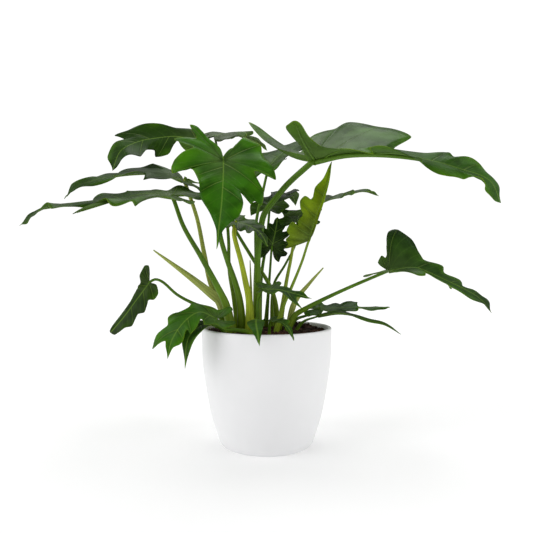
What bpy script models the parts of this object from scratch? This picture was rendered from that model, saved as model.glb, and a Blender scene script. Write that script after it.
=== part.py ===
"""A split-leaf philodendron growing in a round white planter.

Metres, +Z up. The origin is at the centre of the planter's flat base. +X is to the right of somebody
who faces the plant, and +Y points away from them.
"""

import math

import bmesh
import bpy
from mathutils import Vector

# Planter
POT_HEIGHT = 0.194
POT_RIM_RADIUS = 0.110
# Shares of the height, each with the outer radius there
POT_PROFILE = ((0.0, 0.0778), (0.012, 0.0792), (0.25, 0.0933), (0.5, 0.1026), (0.75, 0.1087),
               (1.0, POT_RIM_RADIUS))
POT_RINGS = (0.25, 0.5, 0.75)
POT_WALL = 0.006
POT_FLOOR = 0.008
POT_SIDES = 48
MERGE_DISTANCE = 0.00001
SHARP_ANGLE = math.radians(40)
POT_COLOUR = (0.80, 0.80, 0.81)

# Soil
SOIL_TOP = 0.1865
FIT_GAP = 0.0006
SOIL_COLOUR = (0.045, 0.024, 0.014)

# Blades and stalks
BLADE_THICKNESS = 0.0012
VEIN_ANGLE = math.radians(50)
MIDRIB_PARTS = 12
RAY_PARTS = 2
HEADING_STEP = 0.02
BLADE_COLOUR = (0.04, 0.13, 0.02)
STALK_RINGS = 8
ROD_BEVEL_RESOLUTION = 1
STALK_CLEARANCE = 0.0028
STALK_TAPER = 1.5
STALK_COLOUR = (0.16, 0.26, 0.05)
SPEAR_SWELL = 0.35
SPEAR_TAPER = 0.9
SPEAR_COLOUR = (0.36, 0.36, 0.14)

# One half of an ordinary blade, from the notch at its stalk round to its tip: (along, across) as
# shares of the length of the midrib, where a negative share lies behind the stalk.
HALF_BROAD = (
    (-0.05, 0.01), (-0.20, 0.07), (-0.36, 0.17), (-0.42, 0.30), (-0.25, 0.33),
    (-0.20, 0.46), (-0.10, 0.50), (-0.02, 0.36),
    (0.13, 0.53), (0.24, 0.53), (0.24, 0.30),
    (0.42, 0.43), (0.53, 0.41), (0.48, 0.21),
    (0.66, 0.27), (0.73, 0.24), (0.69, 0.12),
    (0.84, 0.08), (0.94, 0.03),
)
HALF_SLIM = (
    (-0.04, 0.008), (-0.16, 0.06), (-0.24, 0.17), (-0.15, 0.22),
    (-0.02, 0.27), (0.06, 0.17),
    (0.20, 0.26), (0.30, 0.24), (0.30, 0.13),
    (0.46, 0.20), (0.54, 0.17), (0.54, 0.09),
    (0.72, 0.10), (0.90, 0.035),
)
HALF_LARGE = (
    (-0.04, 0.008), (-0.15, 0.035), (-0.27, 0.07), (-0.35, 0.13), (-0.30, 0.20), (-0.20, 0.21),
    (-0.10, 0.18),
    (-0.08, 0.32), (-0.03, 0.42), (0.04, 0.45), (0.09, 0.42), (0.11, 0.35),
    (0.16, 0.40), (0.25, 0.41), (0.34, 0.38), (0.42, 0.33), (0.49, 0.28), (0.40, 0.12),
    (0.56, 0.09), (0.66, 0.10), (0.70, 0.07), (0.82, 0.11), (0.93, 0.06),
)
HALF_LARGE_FRONT = (
    (-0.03, 0.02), (-0.03, 0.18), (-0.045, 0.34), (-0.035, 0.41), (0.01, 0.43), (0.035, 0.41),
    (0.045, 0.32),
    (0.08, 0.21),
    (0.14, 0.14), (0.22, 0.14), (0.30, 0.13), (0.28, 0.09),
    (0.36, 0.12), (0.46, 0.15), (0.52, 0.12), (0.53, 0.08),
    (0.62, 0.11), (0.72, 0.11), (0.76, 0.09), (0.84, 0.10), (0.92, 0.08), (0.97, 0.04),
)
HALF_LONG_FRONT = (
    (-0.04, 0.008), (-0.12, 0.07), (-0.15, 0.14), (-0.06, 0.19), (0.03, 0.13),
    (0.12, 0.19), (0.22, 0.20), (0.25, 0.12), (0.36, 0.16), (0.40, 0.10),
    (0.47, 0.13), (0.55, 0.27), (0.54, 0.13), (0.53, 0.07),
    (0.64, 0.09), (0.72, 0.11), (0.75, 0.07), (0.86, 0.10), (0.94, 0.06),
)
HALF_UPPER_REAR = (
    (-0.05, 0.01), (-0.14, 0.07), (-0.16, 0.16), (-0.04, 0.20), (0.04, 0.14), (0.14, 0.38),
    (0.26, 0.44),
    (0.28, 0.28), (0.42, 0.41), (0.55, 0.38), (0.50, 0.20), (0.66, 0.22), (0.74, 0.17), (0.73, 0.09),
    (0.86, 0.06), (0.94, 0.03),
)
HALF_YOUNG = (
    (-0.07, 0.08), (-0.18, 0.25), (-0.11, 0.23), (-0.07, 0.28), (-0.01, 0.25),
    (0.04, 0.30), (0.16, 0.26), (0.13, 0.18),
    (0.20, 0.19), (0.27, 0.16), (0.32, 0.21), (0.41, 0.25), (0.49, 0.21), (0.47, 0.12),
    (0.63, 0.13), (0.76, 0.07), (0.92, 0.03),
)
HALF_FRONT_LEFT = (
    (-0.03, 0.003), (-0.17, 0.04), (-0.34, 0.19), (-0.47, 0.28), (-0.51, 0.37), (-0.36, 0.29),
    (-0.35, 0.42), (-0.34, 0.54), (-0.24, 0.42), (-0.16, 0.31),
    (-0.09, 0.43), (-0.01, 0.51), (0.08, 0.54), (0.18, 0.52), (0.10, 0.40), (0.09, 0.34),
    (0.25, 0.26), (0.35, 0.23), (0.46, 0.225), (0.54, 0.18), (0.66, 0.10), (0.80, 0.03),
)
HALF_FRONT_RIGHT = (
    (-0.04, 0.008), (-0.15, 0.07), (-0.19, 0.14), (-0.31, 0.21), (-0.25, 0.31), (-0.21, 0.40),
    (-0.09, 0.41), (0.03, 0.44), (0.14, 0.52), (0.28, 0.54), (0.20, 0.43), (0.17, 0.32),
    (0.28, 0.37), (0.40, 0.42), (0.54, 0.40), (0.49, 0.33), (0.53, 0.29), (0.44, 0.22), (0.41, 0.18),
    (0.54, 0.22), (0.66, 0.19), (0.74, 0.10), (0.82, 0.04),
)
HALF_HANGING_INNER = (
    (-0.03, 0.008), (-0.13, 0.08), (-0.27, 0.22), (-0.25, 0.31), (-0.05, 0.25), (0.07, 0.13),
    (0.25, 0.12), (0.40, 0.10), (0.60, 0.09), (0.79, 0.07), (0.92, 0.05), (0.99, 0.03),
)
HALF_HANGING_OUTER = (
    (-0.02, 0.03), (-0.03, 0.14), (0.04, 0.23), (0.10, 0.27), (0.21, 0.27), (0.26, 0.21),
    (0.35, 0.25), (0.45, 0.29), (0.52, 0.18),
    (0.60, 0.20), (0.69, 0.22), (0.77, 0.15), (0.88, 0.13), (0.97, 0.09),
)
HALF_RAISED = (
    (-0.02, 0.02), (-0.08, 0.11), (-0.04, 0.14), (-0.01, 0.11), (0.02, 0.17), (0.04, 0.28),
    (0.08, 0.37),
    (0.14, 0.41), (0.20, 0.33), (0.24, 0.18), (0.28, 0.12),
    (0.37, 0.12), (0.45, 0.10), (0.47, 0.06),
    (0.58, 0.07), (0.66, 0.07), (0.70, 0.05), (0.82, 0.06), (0.93, 0.04),
)
HALF_TOP_UPPER = (
    (-0.03, 0.01), (-0.10, 0.10), (0.05, 0.14), (0.22, 0.11),
    (0.34, 0.16), (0.48, 0.20), (0.60, 0.21), (0.70, 0.25), (0.66, 0.15), (0.76, 0.15), (0.86, 0.12),
    (0.93, 0.05),
)
HALF_TOP_LOWER = (
    (-0.04, 0.01), (-0.10, 0.12), (0.02, 0.17), (0.13, 0.12), (0.20, 0.06),
    (0.32, 0.20), (0.48, 0.22), (0.46, 0.13), (0.56, 0.15), (0.72, 0.24), (0.82, 0.14), (0.93, 0.05),
)
HALF_CLOSED = (
    (0.02, 0.03), (0.08, 0.11), (0.20, 0.14), (0.35, 0.15), (0.50, 0.12), (0.70, 0.07), (0.90, 0.02),
)
HALF_TWO_TIPPED = (
    (-0.05, 0.01), (-0.12, 0.08), (-0.06, 0.14), (0.12, 0.10), (0.28, 0.16), (0.36, 0.08),
    (0.52, 0.14), (0.76, 0.34), (0.90, 0.40), (0.76, 0.18), (0.72, 0.06), (0.90, 0.03),
)
HALF_DRAPED = (
    (-0.05, 0.01), (-0.20, 0.12), (-0.16, 0.22), (0.00, 0.14), (0.14, 0.12), (0.24, 0.21), (0.30, 0.14),
    (0.42, 0.17), (0.54, 0.26), (0.62, 0.22), (0.78, 0.32), (0.97, 0.37), (0.86, 0.21), (0.79, 0.07),
    (0.87, 0.05), (0.95, 0.02),
)
HALF_DRAPED_INNER = (
    (-0.04, 0.008), (-0.14, 0.08), (-0.20, 0.18), (-0.10, 0.20), (0.00, 0.14),
    (0.12, 0.18), (0.24, 0.19), (0.28, 0.12),
    (0.44, 0.20), (0.58, 0.23), (0.54, 0.12),
    (0.68, 0.14), (0.78, 0.12), (0.84, 0.06), (0.94, 0.02),
)

# Every leaf: the stalk from the soil to the blade, the midrib from the stalk to the tip, which way
# the upper side faces at the stalk and at the tip, the two halves, how far each half is folded up
# about the midrib in degrees, how far its margin droops again, and the stalk's radii. "width"
# widens the blade, and "rear" lifts the lobes that lie behind the stalk.
LEAVES = {
    "front": dict(
        stalk=((-0.040, -0.022, 0), (-0.044, -0.024, 0.237), (-0.052, -0.030, 0.271),
               (-0.063, -0.040, 0.304),
               (-0.074, -0.046, 0.343), (-0.080, -0.046, 0.394), (-0.077, -0.052, 0.436),
               (-0.067, -0.072, 0.458)),
        midrib=((-0.067, -0.076, 0.460), (-0.066, -0.088, 0.440), (-0.066, -0.104, 0.410),
                (-0.067, -0.116, 0.382), (-0.070, -0.122, 0.351), (-0.073, -0.120, 0.321)),
        faces=((0.0, -1.0, 0.5), (0.0, -1.0, 0.1)), halves=(HALF_FRONT_LEFT, HALF_FRONT_RIGHT),
        folds=((8, 8), (8, 8)), droop=0.10, radii=(0.0056, 0.0032)),
    "left_long": dict(
        stalk=((-0.056, -0.032, 0), (-0.066, -0.034, 0.232), (-0.080, -0.037, 0.263),
               (-0.106, -0.044, 0.312),
               (-0.133, -0.050, 0.360), (-0.149, -0.052, 0.404)),
        midrib=((-0.152, -0.053, 0.409), (-0.190, -0.060, 0.412), (-0.245, -0.066, 0.401),
                (-0.300, -0.070, 0.396), (-0.350, -0.072, 0.387), (-0.386, -0.072, 0.360)),
        faces=((0.1, -0.32, 1.0), (-0.3, -0.30, 1.0)), halves=(HALF_SLIM, HALF_LONG_FRONT),
        folds=((6, 4), (0, 0)), droop=0.22, width=1.10, radii=(0.0064, 0.0033)),
    "left_upper": dict(
        stalk=((-0.064, 0.024, 0), (-0.080, 0.022, 0.232), (-0.097, 0.020, 0.266),
               (-0.110, 0.030, 0.320),
               (-0.123, 0.038, 0.380), (-0.142, 0.046, 0.435), (-0.147, 0.048, 0.447)),
        midrib=((-0.150, 0.048, 0.451), (-0.184, 0.044, 0.463), (-0.238, 0.038, 0.462),
                (-0.293, 0.030, 0.451), (-0.336, 0.030, 0.436), (-0.357, 0.030, 0.415)),
        faces=((0.2, -0.28, 1.0), (-0.4, -0.42, 1.0)), halves=(HALF_UPPER_REAR, HALF_SLIM),
        folds=((4, 4), (0, 0)), droop=0.08, radii=(0.0056, 0.0032)),
    "left_top": dict(
        stalk=((0.020, 0.024, 0), (0.015, 0.022, 0.234), (0.004, 0.020, 0.266), (-0.023, 0.024, 0.308),
               (-0.060, 0.050, 0.369), (-0.098, 0.086, 0.448), (-0.118, 0.108, 0.508),
               (-0.130, 0.106, 0.533)),
        midrib=((-0.132, 0.100, 0.536), (-0.172, 0.100, 0.543), (-0.208, 0.092, 0.538),
                (-0.240, 0.080, 0.528), (-0.267, 0.066, 0.508), (-0.280, 0.058, 0.470)),
        faces=((0.0, -1.0, 0.5), (-0.6, -1.0, 0.3)), halves=(HALF_TOP_UPPER, HALF_TOP_LOWER),
        folds=((0, 0), (0, 0)), droop=0.10, radii=(0.0040, 0.0022)),
    "back_top": dict(
        stalk=((-0.048, 0.012, 0), (-0.056, 0.010, 0.240), (-0.064, 0.008, 0.290),
               (-0.066, 0.020, 0.341),
               (-0.074, 0.050, 0.410), (-0.086, 0.090, 0.480), (-0.100, 0.130, 0.545)),
        midrib=((-0.101, 0.136, 0.553), (-0.086, 0.165, 0.566), (-0.060, 0.195, 0.572),
                (-0.028, 0.225, 0.568), (0.002, 0.250, 0.550)),
        faces=((0.0, -0.3, 1.0), (0.3, 0.3, 1.0)), halves=(HALF_SLIM, HALF_SLIM),
        folds=((4, 4), (4, 4)), droop=0.14, width=1.3, radii=(0.0036, 0.0022)),
    "back_right_top": dict(
        stalk=((-0.018, 0.010, 0), (-0.019, 0.008, 0.262), (-0.018, 0.012, 0.304),
               (-0.018, 0.030, 0.374),
               (-0.006, 0.060, 0.435), (0.003, 0.084, 0.478)),
        midrib=((0.006, 0.090, 0.486), (0.030, 0.115, 0.515), (0.060, 0.150, 0.538),
                (0.090, 0.190, 0.550),
                (0.115, 0.225, 0.545)),
        faces=((-0.4, -0.3, 1.0), (0.4, 0.3, 1.0)), halves=(HALF_SLIM, HALF_BROAD),
        folds=((6, 6), (6, 6)), droop=0.14, radii=(0.0040, 0.0024)),
    "right_large": dict(
        stalk=((-0.016, -0.016, 0), (-0.015, -0.022, 0.270), (-0.015, -0.022, 0.307),
               (-0.011, -0.025, 0.346),
               (-0.004, -0.028, 0.382), (0.016, -0.032, 0.409), (0.036, -0.036, 0.432),
               (0.074, -0.045, 0.465)),
        midrib=((0.078, -0.046, 0.468), (0.124, -0.060, 0.475), (0.178, -0.072, 0.473),
                (0.237, -0.080, 0.464), (0.292, -0.085, 0.448), (0.340, -0.090, 0.428),
                (0.358, -0.090, 0.393)),
        faces=((-0.1, 0.0, 1.0), (0.5, -0.90, 0.8)), halves=(HALF_LARGE_FRONT, HALF_LARGE),
        folds=((15, 36), (-8, 4)), droop=0.08, rear=1.8, radii=(0.0058, 0.0048)),
    "young": dict(
        stalk=((0.014, -0.024, 0), (0.028, -0.027, 0.232), (0.039, -0.030, 0.257),
               (0.057, -0.044, 0.303),
               (0.066, -0.054, 0.333)),
        midrib=((0.068, -0.056, 0.338), (0.078, -0.060, 0.373), (0.088, -0.061, 0.401),
                (0.098, -0.059, 0.433), (0.104, -0.055, 0.464)),
        faces=((-0.2, -1.0, 0.1), (-0.2, -1.0, 0.1)), halves=(HALF_CLOSED, HALF_YOUNG),
        folds=((70, 10), (70, 10)), droop=0.05, radii=(0.0034, 0.0020)),
    "right_back": dict(
        stalk=((0.020, 0.006, 0), (0.029, 0.002, 0.237), (0.034, 0.004, 0.270), (0.041, 0.008, 0.304),
               (0.050, 0.020, 0.345), (0.075, 0.034, 0.395)),
        midrib=((0.079, 0.037, 0.401), (0.110, 0.060, 0.418), (0.145, 0.085, 0.430),
                (0.185, 0.105, 0.440),
                (0.217, 0.115, 0.432)),
        faces=((-0.2, 0.0, 1.0), (0.4, 0.0, 1.0)), halves=(HALF_SLIM, HALF_SLIM),
        folds=((8, 8), (8, 8)), droop=0.10, radii=(0.0040, 0.0022)),
    "back_middle": dict(
        stalk=((-0.014, 0.036, 0), (-0.010, 0.036, 0.269), (-0.007, 0.042, 0.296),
               (-0.001, 0.055, 0.333),
               (0.003, 0.070, 0.371), (0.006, 0.084, 0.404)),
        midrib=((0.008, 0.089, 0.410), (0.022, 0.115, 0.430), (0.040, 0.150, 0.443),
                (0.055, 0.185, 0.442), (0.062, 0.215, 0.425)),
        faces=((-0.1, -0.3, 1.0), (0.1, 0.4, 1.0)), halves=(HALF_SLIM, HALF_SLIM),
        folds=((8, 8), (8, 8)), droop=0.12, radii=(0.0040, 0.0022)),
    "back_dark": dict(
        stalk=((0.010, 0.040, 0), (0.013, 0.045, 0.262), (0.034, 0.050, 0.300), (0.054, 0.058, 0.340),
               (0.056, 0.066, 0.375)),
        midrib=((0.057, 0.072, 0.380), (0.065, 0.105, 0.400), (0.074, 0.145, 0.404),
                (0.080, 0.185, 0.393),
                (0.083, 0.215, 0.370)),
        faces=((0.0, -0.2, 1.0), (0.2, 0.6, 1.0)), halves=(HALF_SLIM, HALF_SLIM),
        folds=((8, 8), (8, 8)), droop=0.10, radii=(0.0030, 0.0018)),
    "centre_pale": dict(
        stalk=((-0.027, -0.034, 0), (-0.028, -0.037, 0.238), (-0.034, -0.042, 0.271),
               (-0.041, -0.046, 0.304),
               (-0.052, -0.048, 0.347), (-0.050, -0.048, 0.364)),
        midrib=((-0.047, -0.050, 0.368), (-0.026, -0.062, 0.360), (-0.008, -0.078, 0.346),
                (0.002, -0.094, 0.326)),
        faces=((-0.2, -0.5, 1.0), (0.5, -0.8, 0.6)), halves=(HALF_SLIM, HALF_SLIM),
        folds=((4, 4), (4, 4)), droop=0.15, width=1.1, radii=(0.0060, 0.0036)),
    "back_low": dict(
        stalk=((-0.002, 0.048, 0), (0.004, 0.044, 0.258), (0.007, 0.040, 0.299), (0.009, 0.038, 0.328)),
        midrib=((0.010, 0.040, 0.332), (0.014, 0.040, 0.350), (0.018, 0.046, 0.370),
                (0.020, 0.058, 0.386)),
        faces=((0.0, -1.0, 0.35), (0.0, -0.7, 0.7)), halves=(HALF_BROAD, HALF_BROAD),
        folds=((6, 6), (6, 6)), droop=0.12, radii=(0.0032, 0.0020)),
    "centre_low": dict(
        stalk=((-0.014, -0.034, 0), (-0.014, -0.038, 0.238), (-0.008, -0.046, 0.256)),
        midrib=((-0.005, -0.049, 0.260), (0.021, -0.060, 0.259), (0.046, -0.068, 0.253),
                (0.071, -0.072, 0.246)),
        faces=((-0.2, -0.6, 1.0), (0.2, -0.6, 1.0)), halves=(HALF_TWO_TIPPED, HALF_SLIM),
        folds=((0, 0), (0, 0)), droop=0.12, radii=(0.0032, 0.0018)),
    "right_low": dict(
        stalk=((0.032, -0.012, 0), (0.046, -0.012, 0.212), (0.065, -0.012, 0.225),
               (0.093, -0.015, 0.240),
               (0.139, -0.022, 0.262), (0.196, -0.029, 0.287)),
        midrib=((0.201, -0.030, 0.289), (0.243, -0.035, 0.294), (0.280, -0.040, 0.279),
                (0.333, -0.042, 0.253), (0.350, -0.042, 0.240), (0.365, -0.042, 0.221)),
        faces=((0.0, -0.6, 1.0), (0.3, -0.75, 1.0)), halves=(HALF_SLIM, HALF_RAISED),
        folds=((31, 40), (0, 0)), droop=0.06, radii=(0.0040, 0.0026)),
    "right_short": dict(
        stalk=((0.036, 0.012, 0), (0.050, 0.018, 0.203), (0.070, 0.026, 0.210), (0.090, 0.032, 0.2168)),
        midrib=((0.095, 0.033, 0.2205), (0.137, 0.030, 0.2235), (0.179, 0.025, 0.2240),
                (0.216, 0.020, 0.2250)),
        faces=((0.0, -0.30, 1.0), (0.2, -0.40, 1.0)), halves=(HALF_SLIM, HALF_SLIM),
        folds=((4, 4), (4, 4)), droop=0.06, width=0.85, radii=(0.0026, 0.0016)),
    "right_narrow": dict(
        stalk=((0.046, 0.000, 0), (0.062, 0.000, 0.2015), (0.084, 0.000, 0.210)),
        midrib=((0.088, 0.000, 0.211), (0.120, -0.006, 0.2165), (0.146, -0.010, 0.214),
                (0.173, -0.013, 0.206),
                (0.198, -0.015, 0.199), (0.226, -0.016, 0.182)),
        faces=((0.0, -0.4, 1.0), (0.5, -0.4, 1.0)), halves=(HALF_CLOSED, HALF_CLOSED),
        folds=((20, 20), (20, 20)), droop=0.03, width=0.4, radii=(0.0024, 0.0013)),
    "left_hanging": dict(
        stalk=((-0.062, -0.012, 0), (-0.084, -0.020, 0.221), (-0.117, -0.030, 0.234),
               (-0.146, -0.035, 0.250),
               (-0.168, -0.038, 0.270), (-0.180, -0.036, 0.275), (-0.187, -0.036, 0.273)),
        midrib=((-0.191, -0.040, 0.269), (-0.211, -0.055, 0.238), (-0.226, -0.061, 0.216),
                (-0.247, -0.062, 0.191)),
        faces=((-0.3, -1.0, 0.6), (-0.4, -1.0, 0.2)), halves=(HALF_HANGING_INNER, HALF_HANGING_OUTER),
        folds=((4, 4), (4, 4)), droop=0.05, radii=(0.0034, 0.0022)),
    "rim_left": dict(
        stalk=((-0.022, -0.080, 0), (-0.026, -0.080, 0.193), (-0.041, -0.081, 0.1970),
               (-0.062, -0.080, 0.2000),
               (-0.077, -0.0765, 0.2095)),
        midrib=((-0.080, -0.073, 0.216), (-0.103, -0.084, 0.226), (-0.124, -0.097, 0.213),
                (-0.141, -0.106, 0.187), (-0.148, -0.107, 0.158)),
        faces=((0.1, -0.7, 1.0), (-0.8, -1.0, 0.2)), halves=(HALF_DRAPED, HALF_DRAPED_INNER),
        folds=((0, 0), (0, 0)), droop=0.08, rear=4.0, radii=(0.0030, 0.0020)),
    "rim_left_dark": dict(
        stalk=((-0.062, -0.052, 0), (-0.072, -0.058, 0.197), (-0.084, -0.064, 0.204)),
        midrib=((-0.088, -0.068, 0.206), (-0.103, -0.086, 0.204), (-0.118, -0.101, 0.186),
                (-0.122, -0.108, 0.143)),
        faces=((0.0, -0.4, 1.0), (-0.6, -1.0, 0.1)), halves=(HALF_CLOSED, HALF_CLOSED),
        folds=((10, 10), (10, 10)), droop=0.04, radii=(0.0026, 0.0018)),
    "rim_front": dict(
        stalk=((-0.014, -0.056, 0), (-0.015, -0.064, 0.203), (-0.016, -0.073, 0.212)),
        midrib=((-0.016, -0.077, 0.214), (-0.016, -0.098, 0.210), (-0.013, -0.120, 0.198),
                (-0.010, -0.127, 0.180)),
        faces=((0.0, -0.5, 1.0), (0.0, -1.0, 0.2)), halves=(HALF_CLOSED, HALF_CLOSED),
        folds=((6, 6), (6, 6)), droop=0.06, width=1.35, radii=(0.0022, 0.0014)),
    "rim_front_thin": dict(
        stalk=((0.004, -0.050, 0), (0.005, -0.056, 0.203), (0.006, -0.060, 0.208)),
        midrib=((0.008, -0.064, 0.210), (0.022, -0.088, 0.211), (0.033, -0.113, 0.204),
                (0.040, -0.127, 0.188)),
        faces=((0.0, -0.2, 1.0), (0.2, -1.0, 0.3)), halves=(HALF_SLIM, HALF_SLIM),
        folds=((20, 20), (20, 20)), droop=0.03, width=0.6, radii=(0.0020, 0.0012)),
}

# Pale spears: the dry sheaths and the rolled new leaves that stand between the stalks.
SPEARS = {
    "spear_left": dict(
        route=((-0.066, 0.006, 0), (-0.080, 0.000, 0.236), (-0.093, -0.004, 0.249),
               (-0.130, -0.015, 0.280),
               (-0.186, -0.030, 0.323)),
        radii=(0.0054, 0.0080, 0.0010)),
    "spear_right": dict(
        route=((0.034, 0.000, 0), (0.048, 0.004, 0.234), (0.074, 0.002, 0.268), (0.097, 0.000, 0.294)),
        radii=(0.0040, 0.0052, 0.0010)),
    "spear_back": dict(
        route=((-0.028, 0.028, 0), (-0.027, 0.030, 0.242), (-0.028, 0.031, 0.275),
               (-0.029, 0.031, 0.307)),
        radii=(0.0030, 0.0028, 0.0008)),
}


def clear_scene():
    for thing in list(bpy.data.objects):
        bpy.data.objects.remove(thing, do_unlink=True)


def material(name, colour, roughness):
    made = bpy.data.materials.get(name) or bpy.data.materials.new(name)
    made.use_nodes = True
    shader = made.node_tree.nodes["Principled BSDF"]
    shader.inputs["Base Color"].default_value = (*colour, 1.0)
    shader.inputs["Roughness"].default_value = roughness
    shader.inputs["Metallic"].default_value = 0.0
    return made


def add_object(name, data, finish):
    thing = bpy.data.objects.new(name, data)
    thing.data.materials.append(finish)
    bpy.context.collection.objects.link(thing)
    return thing


def turned(name, profile, finish):
    """A closed body turned about the Z axis from (radius, height) pairs that start and end on it."""
    mesh = bpy.data.meshes.new(name)
    shape = bmesh.new()
    corners = [shape.verts.new((radius, 0.0, height)) for radius, height in profile]
    edges = [shape.edges.new(pair) for pair in zip(corners, corners[1:])]
    bmesh.ops.spin(shape, geom=corners + edges, axis=(0, 0, 1), cent=(0, 0, 0), angle=math.tau,
                   steps=POT_SIDES, use_merge=True)
    bmesh.ops.remove_doubles(shape, verts=shape.verts, dist=MERGE_DISTANCE)
    bmesh.ops.recalc_face_normals(shape, faces=shape.faces)
    shape.to_mesh(mesh)
    shape.free()
    mesh.shade_smooth()
    mesh.set_sharp_from_angle(angle=SHARP_ANGLE)
    return add_object(name, mesh, finish)


def pot_radius(height):
    """The planter's outer radius at a height, between the rings of its profile."""
    share = height / POT_HEIGHT
    for (low, first), (high, second) in zip(POT_PROFILE, POT_PROFILE[1:]):
        if share <= high:
            return first + (second - first) * (share - low) / (high - low)
    return POT_RIM_RADIUS


def make_pot():
    outside = [(radius, share * POT_HEIGHT) for share, radius in POT_PROFILE]
    rings = [share * POT_HEIGHT for share in reversed(POT_RINGS)]
    inside = [(pot_radius(height) - POT_WALL, height) for height in (POT_HEIGHT, *rings, POT_FLOOR)]
    profile = [(0.0, 0.0), *outside, *inside, (0.0, POT_FLOOR)]
    return turned("pot", profile, material("pot_white", POT_COLOUR, 0.35))


def make_soil():
    levels = (POT_FLOOR + FIT_GAP, *(share * POT_HEIGHT for share in POT_RINGS), SOIL_TOP)
    side = [(pot_radius(height) - POT_WALL - 2 * FIT_GAP, height) for height in levels]
    profile = [(0.0, levels[0]), *side, (0.0, SOIL_TOP)]
    return turned("soil", profile, material("soil_brown", SOIL_COLOUR, 0.95))


def smooth_point(points, share):
    """A point on the smooth curve through the points, at a share of the way along it."""
    lengths = [(Vector(b) - Vector(a)).length for a, b in zip(points, points[1:])]
    left = share * sum(lengths)
    last = len(lengths) - 1
    index = 0
    while index < last and left > lengths[index]:
        left -= lengths[index]
        index += 1
    part = left / lengths[index]
    p1, p2 = Vector(points[index]), Vector(points[index + 1])
    p0 = Vector(points[index - 1]) if index > 0 else 2 * p1 - p2
    p3 = Vector(points[index + 2]) if index < last else 2 * p2 - p1
    first = (p2 - p0) / 2 * lengths[index] * 2 / ((p1 - p0).length + lengths[index])
    second = (p3 - p1) / 2 * lengths[index] * 2 / ((p3 - p2).length + lengths[index])
    if part < 0 or part > 1:
        end, slope = (p1, first) if part < 0 else (p2, second)
        return end + slope * (part if part < 0 else part - 1)
    cube, square = part ** 3, part ** 2
    return (p1 * (2 * cube - 3 * square + 1) + first * (cube - 2 * square + part)
            + p2 * (3 * square - 2 * cube) + second * (cube - square))


def grounded(route, radius):
    """The route with its first point on the soil, high enough for the lower rim of a leaning end."""
    x, y, _ = route[0]
    lean = (Vector(route[1]) - Vector((x, y, SOIL_TOP))).normalized()
    rise = radius * math.sqrt(1.0 - lean.z * lean.z)
    return ((x, y, SOIL_TOP + FIT_GAP + rise), *route[1:])


def make_rod(name, points, radii, finish):
    """A round rod through the points, with a radius at each."""
    curve = bpy.data.curves.new(name, "CURVE")
    curve.dimensions = "3D"
    curve.bevel_depth = 1.0
    curve.bevel_resolution = ROD_BEVEL_RESOLUTION
    curve.use_fill_caps = True
    spline = curve.splines.new("POLY")
    spline.points.add(len(points) - 1)
    spline.use_smooth = True
    for place, point, radius in zip(spline.points, points, radii):
        place.co = (*point, 1.0)
        place.radius = radius
    return add_object(name, curve, finish)


def make_stalk(name, leaf):
    """A leaf's stalk, thick at the soil, that stops just short of the blade."""
    thick, thin = leaf["radii"]
    route = grounded(leaf["stalk"], thick)
    length = sum((Vector(b) - Vector(a)).length for a, b in zip(route, route[1:]))
    rings = [ring / (STALK_RINGS - 1) for ring in range(STALK_RINGS)]
    reach = 1 - STALK_CLEARANCE / length
    points = [smooth_point(route, share * reach) for share in rings]
    radii = [thin + (thick - thin) * (1 - share) ** STALK_TAPER for share in rings]
    return make_rod(f"stalk_{name}", points, radii, material("stalk_green", STALK_COLOUR, 0.45))


def make_spear(name, spear):
    """A spear that swells above the soil and then runs out to a point."""
    low, middle, tip = spear["radii"]
    route = grounded(spear["route"], low)
    rings = [ring / (STALK_RINGS - 1) for ring in range(STALK_RINGS)]
    points = [smooth_point(route, share) for share in rings]
    radii = [low + (middle - low) * share / SPEAR_SWELL if share < SPEAR_SWELL
             else tip + (middle - tip) * ((1 - share) / (1 - SPEAR_SWELL)) ** SPEAR_TAPER
             for share in rings]
    return make_rod(name, points, radii, material("spear_pale", SPEAR_COLOUR, 0.55))


def blade_point(leaf, along, across, side):
    """Where a point comes to lie that is along and across, in shares of the midrib's length, when flat."""
    midrib = leaf["midrib"]
    here = smooth_point(midrib, along)
    inside = min(max(along, 0.0), 1.0)
    start = min(inside, 1.0 - HEADING_STEP)
    ahead = (smooth_point(midrib, start + HEADING_STEP) - smooth_point(midrib, start)).normalized()
    base, tip = (Vector(face).normalized() for face in leaf["faces"])
    facing = base.lerp(tip, inside)
    facing = (facing - ahead * facing.dot(ahead)).normalized()
    sideways = ahead.cross(facing) * (1 if side == 0 else -1)
    at_stalk, at_tip = (stage[side] for stage in leaf["folds"])
    fold = math.radians(at_stalk + (at_tip - at_stalk) * inside)
    length = sum((Vector(b) - Vector(a)).length for a, b in zip(midrib, midrib[1:]))
    out = across * length * leaf.get("width", 1.0)
    lift = leaf.get("rear", 0.0) * min(along, 0.0) ** 2 * length
    sink = 2 * leaf["droop"] * out * out / length - lift
    outward = sideways * math.cos(fold) + facing * math.sin(fold)
    return here + outward * out - facing * sink


def vein_station(along, across):
    """The station on the midrib where the side vein that reaches a margin point starts."""
    root = min(max(0.0, along - across / math.tan(VEIN_ANGLE)), 1.0)
    return round(root * MIDRIB_PARTS)


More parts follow.
